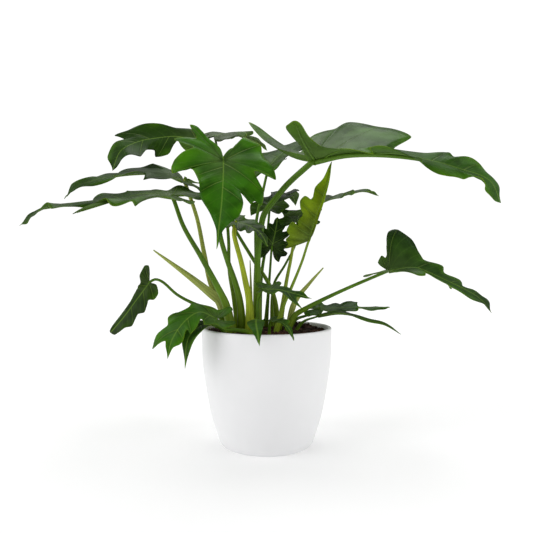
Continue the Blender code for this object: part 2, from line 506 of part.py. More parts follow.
def add_half(shape, leaf, side, stations):
    """One half of the blade, on rays that run from the midrib's stations to the points of the margin."""
    rays = []
    for along, across in (*leaf["halves"][side], (1.0, 0.0)):
        station = vein_station(along, across)
        root = station / MIDRIB_PARTS
        ray = [stations[station]]
        if across > 0:
            for part in range(1, RAY_PARTS + 1):
                share = part / RAY_PARTS
                place = blade_point(leaf, root + (along - root) * share, across * share, side)
                ray.append(shape.verts.new(place))
        rays.append((station, ray))
    rays.insert(0, (0, [stations[0]]))
    for (low, first), (high, second) in zip(rays, rays[1:]):
        inner = stations[low:high + 1]
        corners = [*inner, *second[1:2], *first[1:2]]
        faces = [corners] if len(corners) > 2 else []
        if len(first) > 1 and len(second) > 1:
            faces += [[first[part], second[part], second[part + 1], first[part + 1]]
                      for part in range(1, RAY_PARTS)]
        elif len(first) > 1:
            faces += [[first[part], second[0], first[part + 1]] for part in range(1, RAY_PARTS)]
        elif len(second) > 1:
            faces += [[first[0], second[part], second[part + 1]] for part in range(1, RAY_PARTS)]
        for face in faces:
            shape.faces.new(face if side == 1 else face[::-1])


def make_blade(name, leaf):
    """The blade as a thin closed sheet."""
    mesh = bpy.data.meshes.new(f"blade_{name}")
    shape = bmesh.new()
    stations = [shape.verts.new(blade_point(leaf, station / MIDRIB_PARTS, 0.0, 0))
                for station in range(MIDRIB_PARTS + 1)]
    for side in range(2):
        add_half(shape, leaf, side, stations)
    bmesh.ops.triangulate(shape, faces=shape.faces)
    shape.to_mesh(mesh)
    shape.free()
    mesh.shade_smooth()
    blade = add_object(f"blade_{name}", mesh, material("leaf_green", BLADE_COLOUR, 0.40))
    wall = blade.modifiers.new("thickness", "SOLIDIFY")
    wall.thickness = BLADE_THICKNESS
    wall.offset = 0.0
    return blade


def main():
    clear_scene()
    make_pot()
    make_soil()
    for name, leaf in LEAVES.items():
        make_stalk(name, leaf)
        make_blade(name, leaf)
    for name, spear in SPEARS.items():
        make_spear(name, spear)


main()
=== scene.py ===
"""A potted split-leaf philodendron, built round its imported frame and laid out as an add-on."""

import math
import random

import bpy
import numpy as np
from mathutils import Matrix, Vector, noise


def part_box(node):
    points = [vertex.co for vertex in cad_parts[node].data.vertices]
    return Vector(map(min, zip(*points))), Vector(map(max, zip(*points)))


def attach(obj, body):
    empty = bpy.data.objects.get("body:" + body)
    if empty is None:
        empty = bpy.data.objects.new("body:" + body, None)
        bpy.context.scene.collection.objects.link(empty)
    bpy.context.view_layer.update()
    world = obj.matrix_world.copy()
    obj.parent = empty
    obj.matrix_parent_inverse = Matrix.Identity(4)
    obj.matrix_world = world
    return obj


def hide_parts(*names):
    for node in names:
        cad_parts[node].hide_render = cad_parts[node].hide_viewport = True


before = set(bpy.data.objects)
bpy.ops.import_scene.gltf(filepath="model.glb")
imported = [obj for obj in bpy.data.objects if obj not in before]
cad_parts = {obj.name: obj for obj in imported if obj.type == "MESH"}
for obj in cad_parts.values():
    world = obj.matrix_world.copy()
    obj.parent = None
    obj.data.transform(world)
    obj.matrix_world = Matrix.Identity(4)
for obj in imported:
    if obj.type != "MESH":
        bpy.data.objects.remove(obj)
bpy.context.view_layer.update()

bl_info = {
    "name": "Potted philodendron",
    "version": (1, 0, 0),
    "blender": (4, 5, 0),
    "location": "3D View > Sidebar > Plant",
    "description": "Grows a split-leaf philodendron in its planter, piece by piece",
    "category": "Add Mesh",
}

BODY = "root"
MERGE_DISTANCE = 0.00002

# The planter: its profile is the outer radius at shares of its height, and its lip and foot are arcs.
POT_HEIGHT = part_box("pot")[1][2]
POT_RIM_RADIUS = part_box("pot")[1][0]
POT_PROFILE = ((0.0, 0.0778), (0.012, 0.0792), (0.25, 0.0933), (0.5, 0.1026), (0.75, 0.1087), (1.0, 0.110))
POT_FLOOR = 0.008
POT_FLOOR_CORNER = 0.004
FOOT_STEPS = 5
LIP_STEPS = 8
OUTER_RINGS = 28
INNER_RINGS = 16

# The soil: its level, its section inside the planter, its mound and lumps, and the crumbs on it.
SOIL_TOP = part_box("soil")[1][2]
SOIL_RADIUS = POT_RIM_RADIUS - 0.0065
SOIL_FLOOR = 0.009
SOIL_GAP = 0.0007               # between the soil and the planter's wall
SOIL_WALL_FOOT = 0.05           # the lowest ring on the wall above the soil's floor
SOIL_SHOULDER = 0.004           # from the highest ring on the wall up to the soil's level
SOIL_WALL_RINGS = 5
SOIL_RINGS = 46                 # across the top
SOIL_SIDES = 180
SURFACE_DROP = 0.0008           # of the top below the soil's level
SURFACE_EDGE = 0.0006           # from the top's outermost ring to the soil's radius
MOUND = 0.0085
MOUND_PLACE = (0.045, 0.050)
MOUND_SPREAD = (0.034, 0.030)
LUMP_FINENESS = 55.0
CRUMB_FINENESS = 330.0
CRUMB_SHARE = 0.35              # of the lumps' height
CRUMB_SIZES = (0.5, 0.6, 0.8, 1.0, 1.0, 1.5)
CRUMB_LENGTHS = (0.8, 1.7)
CRUMB_ROUGHNESS = (0.70, 1.15)
CRUMB_RISE = 0.15               # of a crumb's middle above the surface, as a share of its size
STREWN_SHARE = 0.965            # of the soil's radius

# A blade. Lengths are shares of the midrib's length.
VEIN_ANGLE = math.radians(50)   # between the midrib and a side vein
CRISPNESS = 0.35                # how near a margin keeps to straight lines between its outline's points
MARGIN_POINTS = 24              # on the margin between two of the outline's points
FAN_SHARE = 0.45                # the fan of veins at the stalk, as a share of all the veins' order
FAN_START = 0.02                # how far along the margin the fan starts
LEAST_LOBE = 0.05               # the shortest vein that ends at a lobe's tip
QUILT = 0.0060                  # height of the humps between veins
VEIN_BOW = 0.10                 # how far a side vein bows, as a share of its length
FLUTTER = 0.45                  # the quick ripple at the margin, as a share of the slow one
FLUTTER_PITCH = 1.35            # quick ripples from one side vein to the next
TIP_CALM = 8.0                  # how soon the ripples reach full height, away from the tip
STATIONS = np.linspace(-0.6, 1.0, 161)
AIM_STEP = 0.02                 # the step that gives the midrib's direction
LEAST_ROWS = 90
MOST_ROWS = 340
COLUMN_CROWDING = 0.9           # under 1, columns are closer together near the margin
WIDEST_SPAN = 0.3               # metres between two side veins, the most that a map keeps

# The ribs under a blade. Radii are shares of the stalk's thin end.
MIDRIB_POINTS = 26
MIDRIB_SIDES = 10
MIDRIB_REACH = 0.97
MIDRIB_RADIUS = 0.85
MIDRIB_TIP = 0.10
MIDRIB_TAPER = 0.8
MIDRIB_SINK = 0.75              # the share of its radius between its middle and the lower face
RIB_POINTS = 12
RIB_SIDES = 6
RIB_REACH = 0.92
RIB_RADIUS = 0.42
RIB_TAPER = 0.7
RIB_LEAST = 0.00012             # metres, added all along
RIB_SINK = 0.55

# A stalk tapers from its foot, which a sheath widens. A spear swells and then tapers to its tip.
STALK_TAPER = 1.5
SHEATH_HEIGHT = 0.06
SPEAR_SWELL = 0.35              # where it is thickest, as a share of its length
SPEAR_TAPER = 0.9
SPEAR_FLATTENING = 0.45         # at its tip

# One half of an ordinary blade, from the notch at its stalk round to its tip: (along, across) as
# shares of the length of the midrib, where a negative share lies behind the stalk.
HALF_BROAD = (
    (-0.05, 0.01), (-0.20, 0.07), (-0.36, 0.17), (-0.42, 0.30), (-0.25, 0.33), (-0.20, 0.46), (-0.10, 0.50),
    (-0.02, 0.36), (0.13, 0.53), (0.24, 0.53), (0.24, 0.30), (0.42, 0.43), (0.53, 0.41), (0.48, 0.21),
    (0.66, 0.27), (0.73, 0.24), (0.69, 0.12), (0.84, 0.08), (0.94, 0.03),
)
HALF_SLIM = (
    (-0.04, 0.008), (-0.16, 0.06), (-0.24, 0.17), (-0.15, 0.22), (-0.02, 0.27), (0.06, 0.17), (0.20, 0.26),
    (0.30, 0.24), (0.30, 0.13), (0.46, 0.20), (0.54, 0.17), (0.54, 0.09), (0.72, 0.10), (0.90, 0.035),
)
HALF_LARGE = (
    (-0.04, 0.008), (-0.15, 0.035), (-0.27, 0.07), (-0.35, 0.13), (-0.30, 0.20), (-0.20, 0.21),
    (-0.10, 0.18), (-0.08, 0.32), (-0.03, 0.42), (0.04, 0.45), (0.09, 0.42), (0.11, 0.35), (0.16, 0.40),
    (0.25, 0.41), (0.34, 0.38), (0.42, 0.33), (0.49, 0.28), (0.40, 0.12), (0.56, 0.09), (0.66, 0.10),
    (0.70, 0.07), (0.82, 0.11), (0.93, 0.06),
)
HALF_LARGE_FRONT = (
    (-0.03, 0.02), (-0.03, 0.18), (-0.045, 0.34), (-0.035, 0.41), (0.01, 0.43), (0.035, 0.41),
    (0.045, 0.32), (0.08, 0.21), (0.14, 0.14), (0.22, 0.14), (0.30, 0.13), (0.28, 0.09), (0.36, 0.12),
    (0.46, 0.15), (0.52, 0.12), (0.53, 0.08), (0.62, 0.11), (0.72, 0.11), (0.76, 0.09), (0.84, 0.10),
    (0.92, 0.08), (0.97, 0.04),
)
HALF_LONG_FRONT = (
    (-0.04, 0.008), (-0.12, 0.07), (-0.15, 0.14), (-0.06, 0.19), (0.03, 0.13), (0.12, 0.19), (0.22, 0.20),
    (0.25, 0.12), (0.36, 0.16), (0.40, 0.10), (0.47, 0.13), (0.55, 0.27), (0.54, 0.13), (0.53, 0.07),
    (0.64, 0.09), (0.72, 0.11), (0.75, 0.07), (0.86, 0.10), (0.94, 0.06),
)
HALF_UPPER_REAR = (
    (-0.05, 0.01), (-0.14, 0.07), (-0.16, 0.16), (-0.04, 0.20), (0.04, 0.14), (0.14, 0.38), (0.26, 0.44),
    (0.28, 0.28), (0.42, 0.41), (0.55, 0.38), (0.50, 0.20), (0.66, 0.22), (0.74, 0.17), (0.73, 0.09),
    (0.86, 0.06), (0.94, 0.03),
)
HALF_YOUNG = (
    (-0.07, 0.08), (-0.18, 0.25), (-0.11, 0.23), (-0.07, 0.28), (-0.01, 0.25), (0.04, 0.30), (0.16, 0.26),
    (0.13, 0.18), (0.20, 0.19), (0.27, 0.16), (0.32, 0.21), (0.41, 0.25), (0.49, 0.21), (0.47, 0.12),
    (0.63, 0.13), (0.76, 0.07), (0.92, 0.03),
)
HALF_FRONT_LEFT = (
    (-0.03, 0.003), (-0.17, 0.04), (-0.34, 0.19), (-0.47, 0.28), (-0.51, 0.37), (-0.36, 0.29),
    (-0.35, 0.42), (-0.34, 0.54), (-0.24, 0.42), (-0.16, 0.31), (-0.09, 0.43), (-0.01, 0.51), (0.08, 0.54),
    (0.18, 0.52), (0.10, 0.40), (0.09, 0.34), (0.25, 0.26), (0.35, 0.23), (0.46, 0.225), (0.54, 0.18),
    (0.66, 0.10), (0.80, 0.03),
)
HALF_FRONT_RIGHT = (
    (-0.04, 0.008), (-0.15, 0.07), (-0.19, 0.14), (-0.31, 0.21), (-0.25, 0.31), (-0.21, 0.40),
    (-0.09, 0.41), (0.03, 0.44), (0.14, 0.52), (0.28, 0.54), (0.20, 0.43), (0.17, 0.32), (0.28, 0.37),
    (0.40, 0.42), (0.54, 0.40), (0.49, 0.33), (0.53, 0.29), (0.44, 0.22), (0.41, 0.18), (0.54, 0.22),
    (0.66, 0.19), (0.74, 0.10), (0.82, 0.04),
)
HALF_HANGING_INNER = (
    (-0.03, 0.008), (-0.13, 0.08), (-0.27, 0.22), (-0.25, 0.31), (-0.05, 0.25), (0.07, 0.13), (0.25, 0.12),
    (0.40, 0.10), (0.60, 0.09), (0.79, 0.07), (0.92, 0.05), (0.99, 0.03),
)
HALF_HANGING_OUTER = (
    (-0.02, 0.03), (-0.03, 0.14), (0.04, 0.23), (0.10, 0.27), (0.21, 0.27), (0.26, 0.21), (0.35, 0.25),
    (0.45, 0.29), (0.52, 0.18), (0.60, 0.20), (0.69, 0.22), (0.77, 0.15), (0.88, 0.13), (0.97, 0.09),
)
HALF_RAISED = (
    (-0.02, 0.02), (-0.08, 0.11), (-0.04, 0.14), (-0.01, 0.11), (0.02, 0.17), (0.04, 0.28), (0.08, 0.37),
    (0.14, 0.41), (0.20, 0.33), (0.24, 0.18), (0.28, 0.12), (0.37, 0.12), (0.45, 0.10), (0.47, 0.06),
    (0.58, 0.07), (0.66, 0.07), (0.70, 0.05), (0.82, 0.06), (0.93, 0.04),
)
HALF_TOP_UPPER = (
    (-0.03, 0.01), (-0.10, 0.10), (0.05, 0.14), (0.22, 0.11), (0.34, 0.16), (0.48, 0.20), (0.60, 0.21),
    (0.70, 0.25), (0.66, 0.15), (0.76, 0.15), (0.86, 0.12), (0.93, 0.05),
)
HALF_TOP_LOWER = (
    (-0.04, 0.01), (-0.10, 0.12), (0.02, 0.17), (0.13, 0.12), (0.20, 0.06), (0.32, 0.20), (0.48, 0.22),
    (0.46, 0.13), (0.56, 0.15), (0.72, 0.24), (0.82, 0.14), (0.93, 0.05),
)
HALF_CLOSED = (
    (0.02, 0.03), (0.08, 0.11), (0.20, 0.14), (0.35, 0.15), (0.50, 0.12), (0.70, 0.07), (0.90, 0.02),
)
HALF_TWO_TIPPED = (
    (-0.05, 0.01), (-0.12, 0.08), (-0.06, 0.14), (0.12, 0.10), (0.28, 0.16), (0.36, 0.08), (0.52, 0.14),
    (0.76, 0.34), (0.90, 0.40), (0.76, 0.18), (0.72, 0.06), (0.90, 0.03),
)
HALF_DRAPED = (
    (-0.05, 0.01), (-0.20, 0.12), (-0.16, 0.22), (0.00, 0.14), (0.14, 0.12), (0.24, 0.21), (0.30, 0.14),
    (0.42, 0.17), (0.54, 0.26), (0.62, 0.22), (0.78, 0.32), (0.97, 0.37), (0.86, 0.21), (0.79, 0.07),
    (0.87, 0.05), (0.95, 0.02),
)
HALF_DRAPED_INNER = (
    (-0.04, 0.008), (-0.14, 0.08), (-0.20, 0.18), (-0.10, 0.20), (0.00, 0.14), (0.12, 0.18), (0.24, 0.19),
    (0.28, 0.12), (0.44, 0.20), (0.58, 0.23), (0.54, 0.12), (0.68, 0.14), (0.78, 0.12), (0.84, 0.06),
    (0.94, 0.02),
)

# Every leaf: the stalk from the soil to the blade, the midrib from the stalk to the tip, which way
# the upper side faces at the stalk and at the tip, the two halves, how far each half is folded up
# about the midrib in degrees, how far its margin droops again, and the stalk's radii. "width"
# widens the blade, and "rear" lifts the lobes that lie behind the stalk.
LEAVES = {
    "front": dict(
        stalk=((-0.040, -0.022, 0), (-0.044, -0.024, 0.237), (-0.052, -0.030, 0.271),
               (-0.063, -0.040, 0.304), (-0.074, -0.046, 0.343), (-0.080, -0.046, 0.394),
               (-0.077, -0.052, 0.436), (-0.067, -0.072, 0.458)),
        midrib=((-0.067, -0.076, 0.460), (-0.066, -0.088, 0.440), (-0.066, -0.104, 0.410),
                (-0.067, -0.116, 0.382), (-0.070, -0.122, 0.351), (-0.073, -0.120, 0.321)),
        faces=((0.0, -1.0, 0.5), (0.0, -1.0, 0.1)), halves=(HALF_FRONT_LEFT, HALF_FRONT_RIGHT),
        folds=((8, 8), (8, 8)), droop=0.10, radii=(0.0056, 0.0032)),
    "left_long": dict(
        stalk=((-0.056, -0.032, 0), (-0.066, -0.034, 0.232), (-0.080, -0.037, 0.263),
               (-0.106, -0.044, 0.312), (-0.133, -0.050, 0.360), (-0.149, -0.052, 0.404)),
        midrib=((-0.152, -0.053, 0.409), (-0.190, -0.060, 0.412), (-0.245, -0.066, 0.401),
                (-0.300, -0.070, 0.396), (-0.350, -0.072, 0.387), (-0.386, -0.072, 0.360)),
        faces=((0.1, -0.32, 1.0), (-0.3, -0.30, 1.0)), halves=(HALF_SLIM, HALF_LONG_FRONT),
        folds=((6, 4), (0, 0)), droop=0.22, width=1.10, radii=(0.0064, 0.0033)),
    "left_upper": dict(
        stalk=((-0.064, 0.024, 0), (-0.080, 0.022, 0.232), (-0.097, 0.020, 0.266), (-0.110, 0.030, 0.320),
               (-0.123, 0.038, 0.380), (-0.142, 0.046, 0.435), (-0.147, 0.048, 0.447)),
        midrib=((-0.150, 0.048, 0.451), (-0.184, 0.044, 0.463), (-0.238, 0.038, 0.462),
                (-0.293, 0.030, 0.451), (-0.336, 0.030, 0.436), (-0.357, 0.030, 0.415)),
        faces=((0.2, -0.28, 1.0), (-0.4, -0.42, 1.0)), halves=(HALF_UPPER_REAR, HALF_SLIM),
        folds=((4, 4), (0, 0)), droop=0.08, radii=(0.0056, 0.0032)),
    "left_top": dict(
        stalk=((0.020, 0.024, 0), (0.015, 0.022, 0.234), (0.004, 0.020, 0.266), (-0.023, 0.024, 0.308),
               (-0.060, 0.050, 0.369), (-0.098, 0.086, 0.448), (-0.118, 0.108, 0.508),
               (-0.130, 0.106, 0.533)),
        midrib=((-0.132, 0.100, 0.536), (-0.172, 0.100, 0.543), (-0.208, 0.092, 0.538),
                (-0.240, 0.080, 0.528), (-0.267, 0.066, 0.508), (-0.280, 0.058, 0.470)),
        faces=((0.0, -1.0, 0.5), (-0.6, -1.0, 0.3)), halves=(HALF_TOP_UPPER, HALF_TOP_LOWER),
        folds=((0, 0), (0, 0)), droop=0.10, radii=(0.0040, 0.0022)),
    "back_top": dict(
        stalk=((-0.048, 0.012, 0), (-0.056, 0.010, 0.240), (-0.064, 0.008, 0.290), (-0.066, 0.020, 0.341),
               (-0.074, 0.050, 0.410), (-0.086, 0.090, 0.480), (-0.100, 0.130, 0.545)),
        midrib=((-0.101, 0.136, 0.553), (-0.086, 0.165, 0.566), (-0.060, 0.195, 0.572),
                (-0.028, 0.225, 0.568), (0.002, 0.250, 0.550)),
        faces=((0.0, -0.3, 1.0), (0.3, 0.3, 1.0)), halves=(HALF_SLIM, HALF_SLIM),
        folds=((4, 4), (4, 4)), droop=0.14, width=1.3, radii=(0.0036, 0.0022)),
    "back_right_top": dict(
        stalk=((-0.018, 0.010, 0), (-0.019, 0.008, 0.262), (-0.018, 0.012, 0.304), (-0.018, 0.030, 0.374),
               (-0.006, 0.060, 0.435), (0.003, 0.084, 0.478)),
        midrib=((0.006, 0.090, 0.486), (0.030, 0.115, 0.515), (0.060, 0.150, 0.538), (0.090, 0.190, 0.550),
                (0.115, 0.225, 0.545)),
        faces=((-0.4, -0.3, 1.0), (0.4, 0.3, 1.0)), halves=(HALF_SLIM, HALF_BROAD),
        folds=((6, 6), (6, 6)), droop=0.14, radii=(0.0040, 0.0024)),
    "right_large": dict(
        stalk=((-0.016, -0.016, 0), (-0.015, -0.022, 0.270), (-0.015, -0.022, 0.307),
               (-0.011, -0.025, 0.346), (-0.004, -0.028, 0.382), (0.016, -0.032, 0.409),
               (0.036, -0.036, 0.432), (0.074, -0.045, 0.465)),
        midrib=((0.078, -0.046, 0.468), (0.124, -0.060, 0.475), (0.178, -0.072, 0.473),
                (0.237, -0.080, 0.464), (0.292, -0.085, 0.448), (0.340, -0.090, 0.428),
                (0.358, -0.090, 0.393)),
        faces=((-0.1, 0.0, 1.0), (0.5, -0.90, 0.8)), halves=(HALF_LARGE_FRONT, HALF_LARGE),
        folds=((15, 36), (-8, 4)), droop=0.08, rear=1.8, radii=(0.0058, 0.0048)),
    "young": dict(
        stalk=((0.014, -0.024, 0), (0.028, -0.027, 0.232), (0.039, -0.030, 0.257), (0.057, -0.044, 0.303),
               (0.066, -0.054, 0.333)),
        midrib=((0.068, -0.056, 0.338), (0.078, -0.060, 0.373), (0.088, -0.061, 0.401),
                (0.098, -0.059, 0.433), (0.104, -0.055, 0.464)),
        faces=((-0.2, -1.0, 0.1), (-0.2, -1.0, 0.1)), halves=(HALF_CLOSED, HALF_YOUNG),
        folds=((70, 10), (70, 10)), droop=0.05, radii=(0.0034, 0.0020)),
    "right_back": dict(
        stalk=((0.020, 0.006, 0), (0.029, 0.002, 0.237), (0.034, 0.004, 0.270), (0.041, 0.008, 0.304),
               (0.050, 0.020, 0.345), (0.075, 0.034, 0.395)),
        midrib=((0.079, 0.037, 0.401), (0.110, 0.060, 0.418), (0.145, 0.085, 0.430), (0.185, 0.105, 0.440),
                (0.217, 0.115, 0.432)),
        faces=((-0.2, 0.0, 1.0), (0.4, 0.0, 1.0)), halves=(HALF_SLIM, HALF_SLIM),
        folds=((8, 8), (8, 8)), droop=0.10, radii=(0.0040, 0.0022)),
    "back_middle": dict(
        stalk=((-0.014, 0.036, 0), (-0.010, 0.036, 0.269), (-0.007, 0.042, 0.296), (-0.001, 0.055, 0.333),
               (0.003, 0.070, 0.371), (0.006, 0.084, 0.404)),
        midrib=((0.008, 0.089, 0.410), (0.022, 0.115, 0.430), (0.040, 0.150, 0.443), (0.055, 0.185, 0.442),
                (0.062, 0.215, 0.425)),
        faces=((-0.1, -0.3, 1.0), (0.1, 0.4, 1.0)), halves=(HALF_SLIM, HALF_SLIM),
        folds=((8, 8), (8, 8)), droop=0.12, radii=(0.0040, 0.0022)),
    "back_dark": dict(
        stalk=((0.010, 0.040, 0), (0.013, 0.045, 0.262), (0.034, 0.050, 0.300), (0.054, 0.058, 0.340),
               (0.056, 0.066, 0.375)),
        midrib=((0.057, 0.072, 0.380), (0.065, 0.105, 0.400), (0.074, 0.145, 0.404), (0.080, 0.185, 0.393),
                (0.083, 0.215, 0.370)),
        faces=((0.0, -0.2, 1.0), (0.2, 0.6, 1.0)), halves=(HALF_SLIM, HALF_SLIM),
        folds=((8, 8), (8, 8)), droop=0.10, radii=(0.0030, 0.0018)),
    "centre_pale": dict(
        stalk=((-0.027, -0.034, 0), (-0.028, -0.037, 0.238), (-0.034, -0.042, 0.271),
               (-0.041, -0.046, 0.304), (-0.052, -0.048, 0.347), (-0.050, -0.048, 0.364)),
        midrib=((-0.047, -0.050, 0.368), (-0.026, -0.062, 0.360), (-0.008, -0.078, 0.346),
                (0.002, -0.094, 0.326)),
        faces=((-0.2, -0.5, 1.0), (0.5, -0.8, 0.6)), halves=(HALF_SLIM, HALF_SLIM),
        folds=((4, 4), (4, 4)), droop=0.15, width=1.1, radii=(0.0060, 0.0036)),
    "back_low": dict(
        stalk=((-0.002, 0.048, 0), (0.004, 0.044, 0.258), (0.007, 0.040, 0.299), (0.009, 0.038, 0.328)),
        midrib=((0.010, 0.040, 0.332), (0.014, 0.040, 0.350), (0.018, 0.046, 0.370), (0.020, 0.058, 0.386)),
        faces=((0.0, -1.0, 0.35), (0.0, -0.7, 0.7)), halves=(HALF_BROAD, HALF_BROAD),
        folds=((6, 6), (6, 6)), droop=0.12, radii=(0.0032, 0.0020)),
    "centre_low": dict(
        stalk=((-0.014, -0.034, 0), (-0.014, -0.038, 0.238), (-0.008, -0.046, 0.256)),
        midrib=((-0.005, -0.049, 0.260), (0.021, -0.060, 0.259), (0.046, -0.068, 0.253),
                (0.071, -0.072, 0.246)),
        faces=((-0.2, -0.6, 1.0), (0.2, -0.6, 1.0)), halves=(HALF_TWO_TIPPED, HALF_SLIM),
        folds=((0, 0), (0, 0)), droop=0.12, radii=(0.0032, 0.0018)),
    "right_low": dict(
        stalk=((0.032, -0.012, 0), (0.046, -0.012, 0.212), (0.065, -0.012, 0.225), (0.093, -0.015, 0.240),
               (0.139, -0.022, 0.262), (0.196, -0.029, 0.287)),
        midrib=((0.201, -0.030, 0.289), (0.243, -0.035, 0.294), (0.280, -0.040, 0.279),
                (0.333, -0.042, 0.253), (0.350, -0.042, 0.240), (0.365, -0.042, 0.221)),
        faces=((0.0, -0.6, 1.0), (0.3, -0.75, 1.0)), halves=(HALF_SLIM, HALF_RAISED),
        folds=((31, 40), (0, 0)), droop=0.06, radii=(0.0040, 0.0026)),
    "right_short": dict(
        stalk=((0.036, 0.012, 0), (0.050, 0.018, 0.203), (0.070, 0.026, 0.210), (0.090, 0.032, 0.2168)),
        midrib=((0.095, 0.033, 0.2205), (0.137, 0.030, 0.2235), (0.179, 0.025, 0.2240),
                (0.216, 0.020, 0.2250)),
        faces=((0.0, -0.30, 1.0), (0.2, -0.40, 1.0)), halves=(HALF_SLIM, HALF_SLIM),
        folds=((4, 4), (4, 4)), droop=0.06, width=0.85, radii=(0.0026, 0.0016)),
    "right_narrow": dict(
        stalk=((0.046, 0.000, 0), (0.062, 0.000, 0.2015), (0.084, 0.000, 0.210)),
        midrib=((0.088, 0.000, 0.211), (0.120, -0.006, 0.2165), (0.146, -0.010, 0.214),
                (0.173, -0.013, 0.206), (0.198, -0.015, 0.199), (0.226, -0.016, 0.182)),
        faces=((0.0, -0.4, 1.0), (0.5, -0.4, 1.0)), halves=(HALF_CLOSED, HALF_CLOSED),
        folds=((20, 20), (20, 20)), droop=0.03, width=0.4, radii=(0.0024, 0.0013)),
    "left_hanging": dict(
        stalk=((-0.062, -0.012, 0), (-0.084, -0.020, 0.221), (-0.117, -0.030, 0.234),
               (-0.146, -0.035, 0.250), (-0.168, -0.038, 0.270), (-0.180, -0.036, 0.275),
               (-0.187, -0.036, 0.273)),
        midrib=((-0.191, -0.040, 0.269), (-0.211, -0.055, 0.238), (-0.226, -0.061, 0.216),
                (-0.247, -0.062, 0.191)),
        faces=((-0.3, -1.0, 0.6), (-0.4, -1.0, 0.2)), halves=(HALF_HANGING_INNER, HALF_HANGING_OUTER),
        folds=((4, 4), (4, 4)), droop=0.05, radii=(0.0034, 0.0022)),
    "rim_left": dict(
        stalk=((-0.022, -0.080, 0), (-0.026, -0.080, 0.193), (-0.041, -0.081, 0.1970),
               (-0.062, -0.080, 0.2000), (-0.077, -0.0765, 0.2095)),
        midrib=((-0.080, -0.073, 0.216), (-0.103, -0.084, 0.226), (-0.124, -0.097, 0.213),
                (-0.141, -0.106, 0.187), (-0.148, -0.107, 0.158)),
        faces=((0.1, -0.7, 1.0), (-0.8, -1.0, 0.2)), halves=(HALF_DRAPED, HALF_DRAPED_INNER),
        folds=((0, 0), (0, 0)), droop=0.08, rear=4.0, radii=(0.0030, 0.0020)),
    "rim_left_dark": dict(
        stalk=((-0.062, -0.052, 0), (-0.072, -0.058, 0.197), (-0.084, -0.064, 0.204)),
        midrib=((-0.088, -0.068, 0.206), (-0.103, -0.086, 0.204), (-0.118, -0.101, 0.186),
                (-0.122, -0.108, 0.143)),
        faces=((0.0, -0.4, 1.0), (-0.6, -1.0, 0.1)), halves=(HALF_CLOSED, HALF_CLOSED),
        folds=((10, 10), (10, 10)), droop=0.04, radii=(0.0026, 0.0018)),
    "rim_front": dict(
        stalk=((-0.014, -0.056, 0), (-0.015, -0.064, 0.203), (-0.016, -0.073, 0.212)),
        midrib=((-0.016, -0.077, 0.214), (-0.016, -0.098, 0.210), (-0.013, -0.120, 0.198),
                (-0.010, -0.127, 0.180)),
        faces=((0.0, -0.5, 1.0), (0.0, -1.0, 0.2)), halves=(HALF_CLOSED, HALF_CLOSED),
        folds=((6, 6), (6, 6)), droop=0.06, width=1.35, radii=(0.0022, 0.0014)),
    "rim_front_thin": dict(
        stalk=((0.004, -0.050, 0), (0.005, -0.056, 0.203), (0.006, -0.060, 0.208)),
        midrib=((0.008, -0.064, 0.210), (0.022, -0.088, 0.211), (0.033, -0.113, 0.204),
                (0.040, -0.127, 0.188)),
        faces=((0.0, -0.2, 1.0), (0.2, -1.0, 0.3)), halves=(HALF_SLIM, HALF_SLIM),
        folds=((20, 20), (20, 20)), droop=0.03, width=0.6, radii=(0.0020, 0.0012)),
}

# Pale spears: the dry sheaths and the rolled new leaves that stand between the stalks.
SPEARS = {
    "spear_left": dict(
        route=((-0.066, 0.006, 0), (-0.080, 0.000, 0.236), (-0.093, -0.004, 0.249), (-0.130, -0.015, 0.280),
               (-0.186, -0.030, 0.323)),
        radii=(0.0054, 0.0080, 0.0010)),
    "spear_right": dict(
        route=((0.034, 0.000, 0), (0.048, 0.004, 0.234), (0.074, 0.002, 0.268), (0.097, 0.000, 0.294)),
        radii=(0.0040, 0.0052, 0.0010)),
    "spear_back": dict(
        route=((-0.028, 0.028, 0), (-0.027, 0.030, 0.242), (-0.028, 0.031, 0.275), (-0.029, 0.031, 0.307)),
        radii=(0.0030, 0.0028, 0.0008)),
}

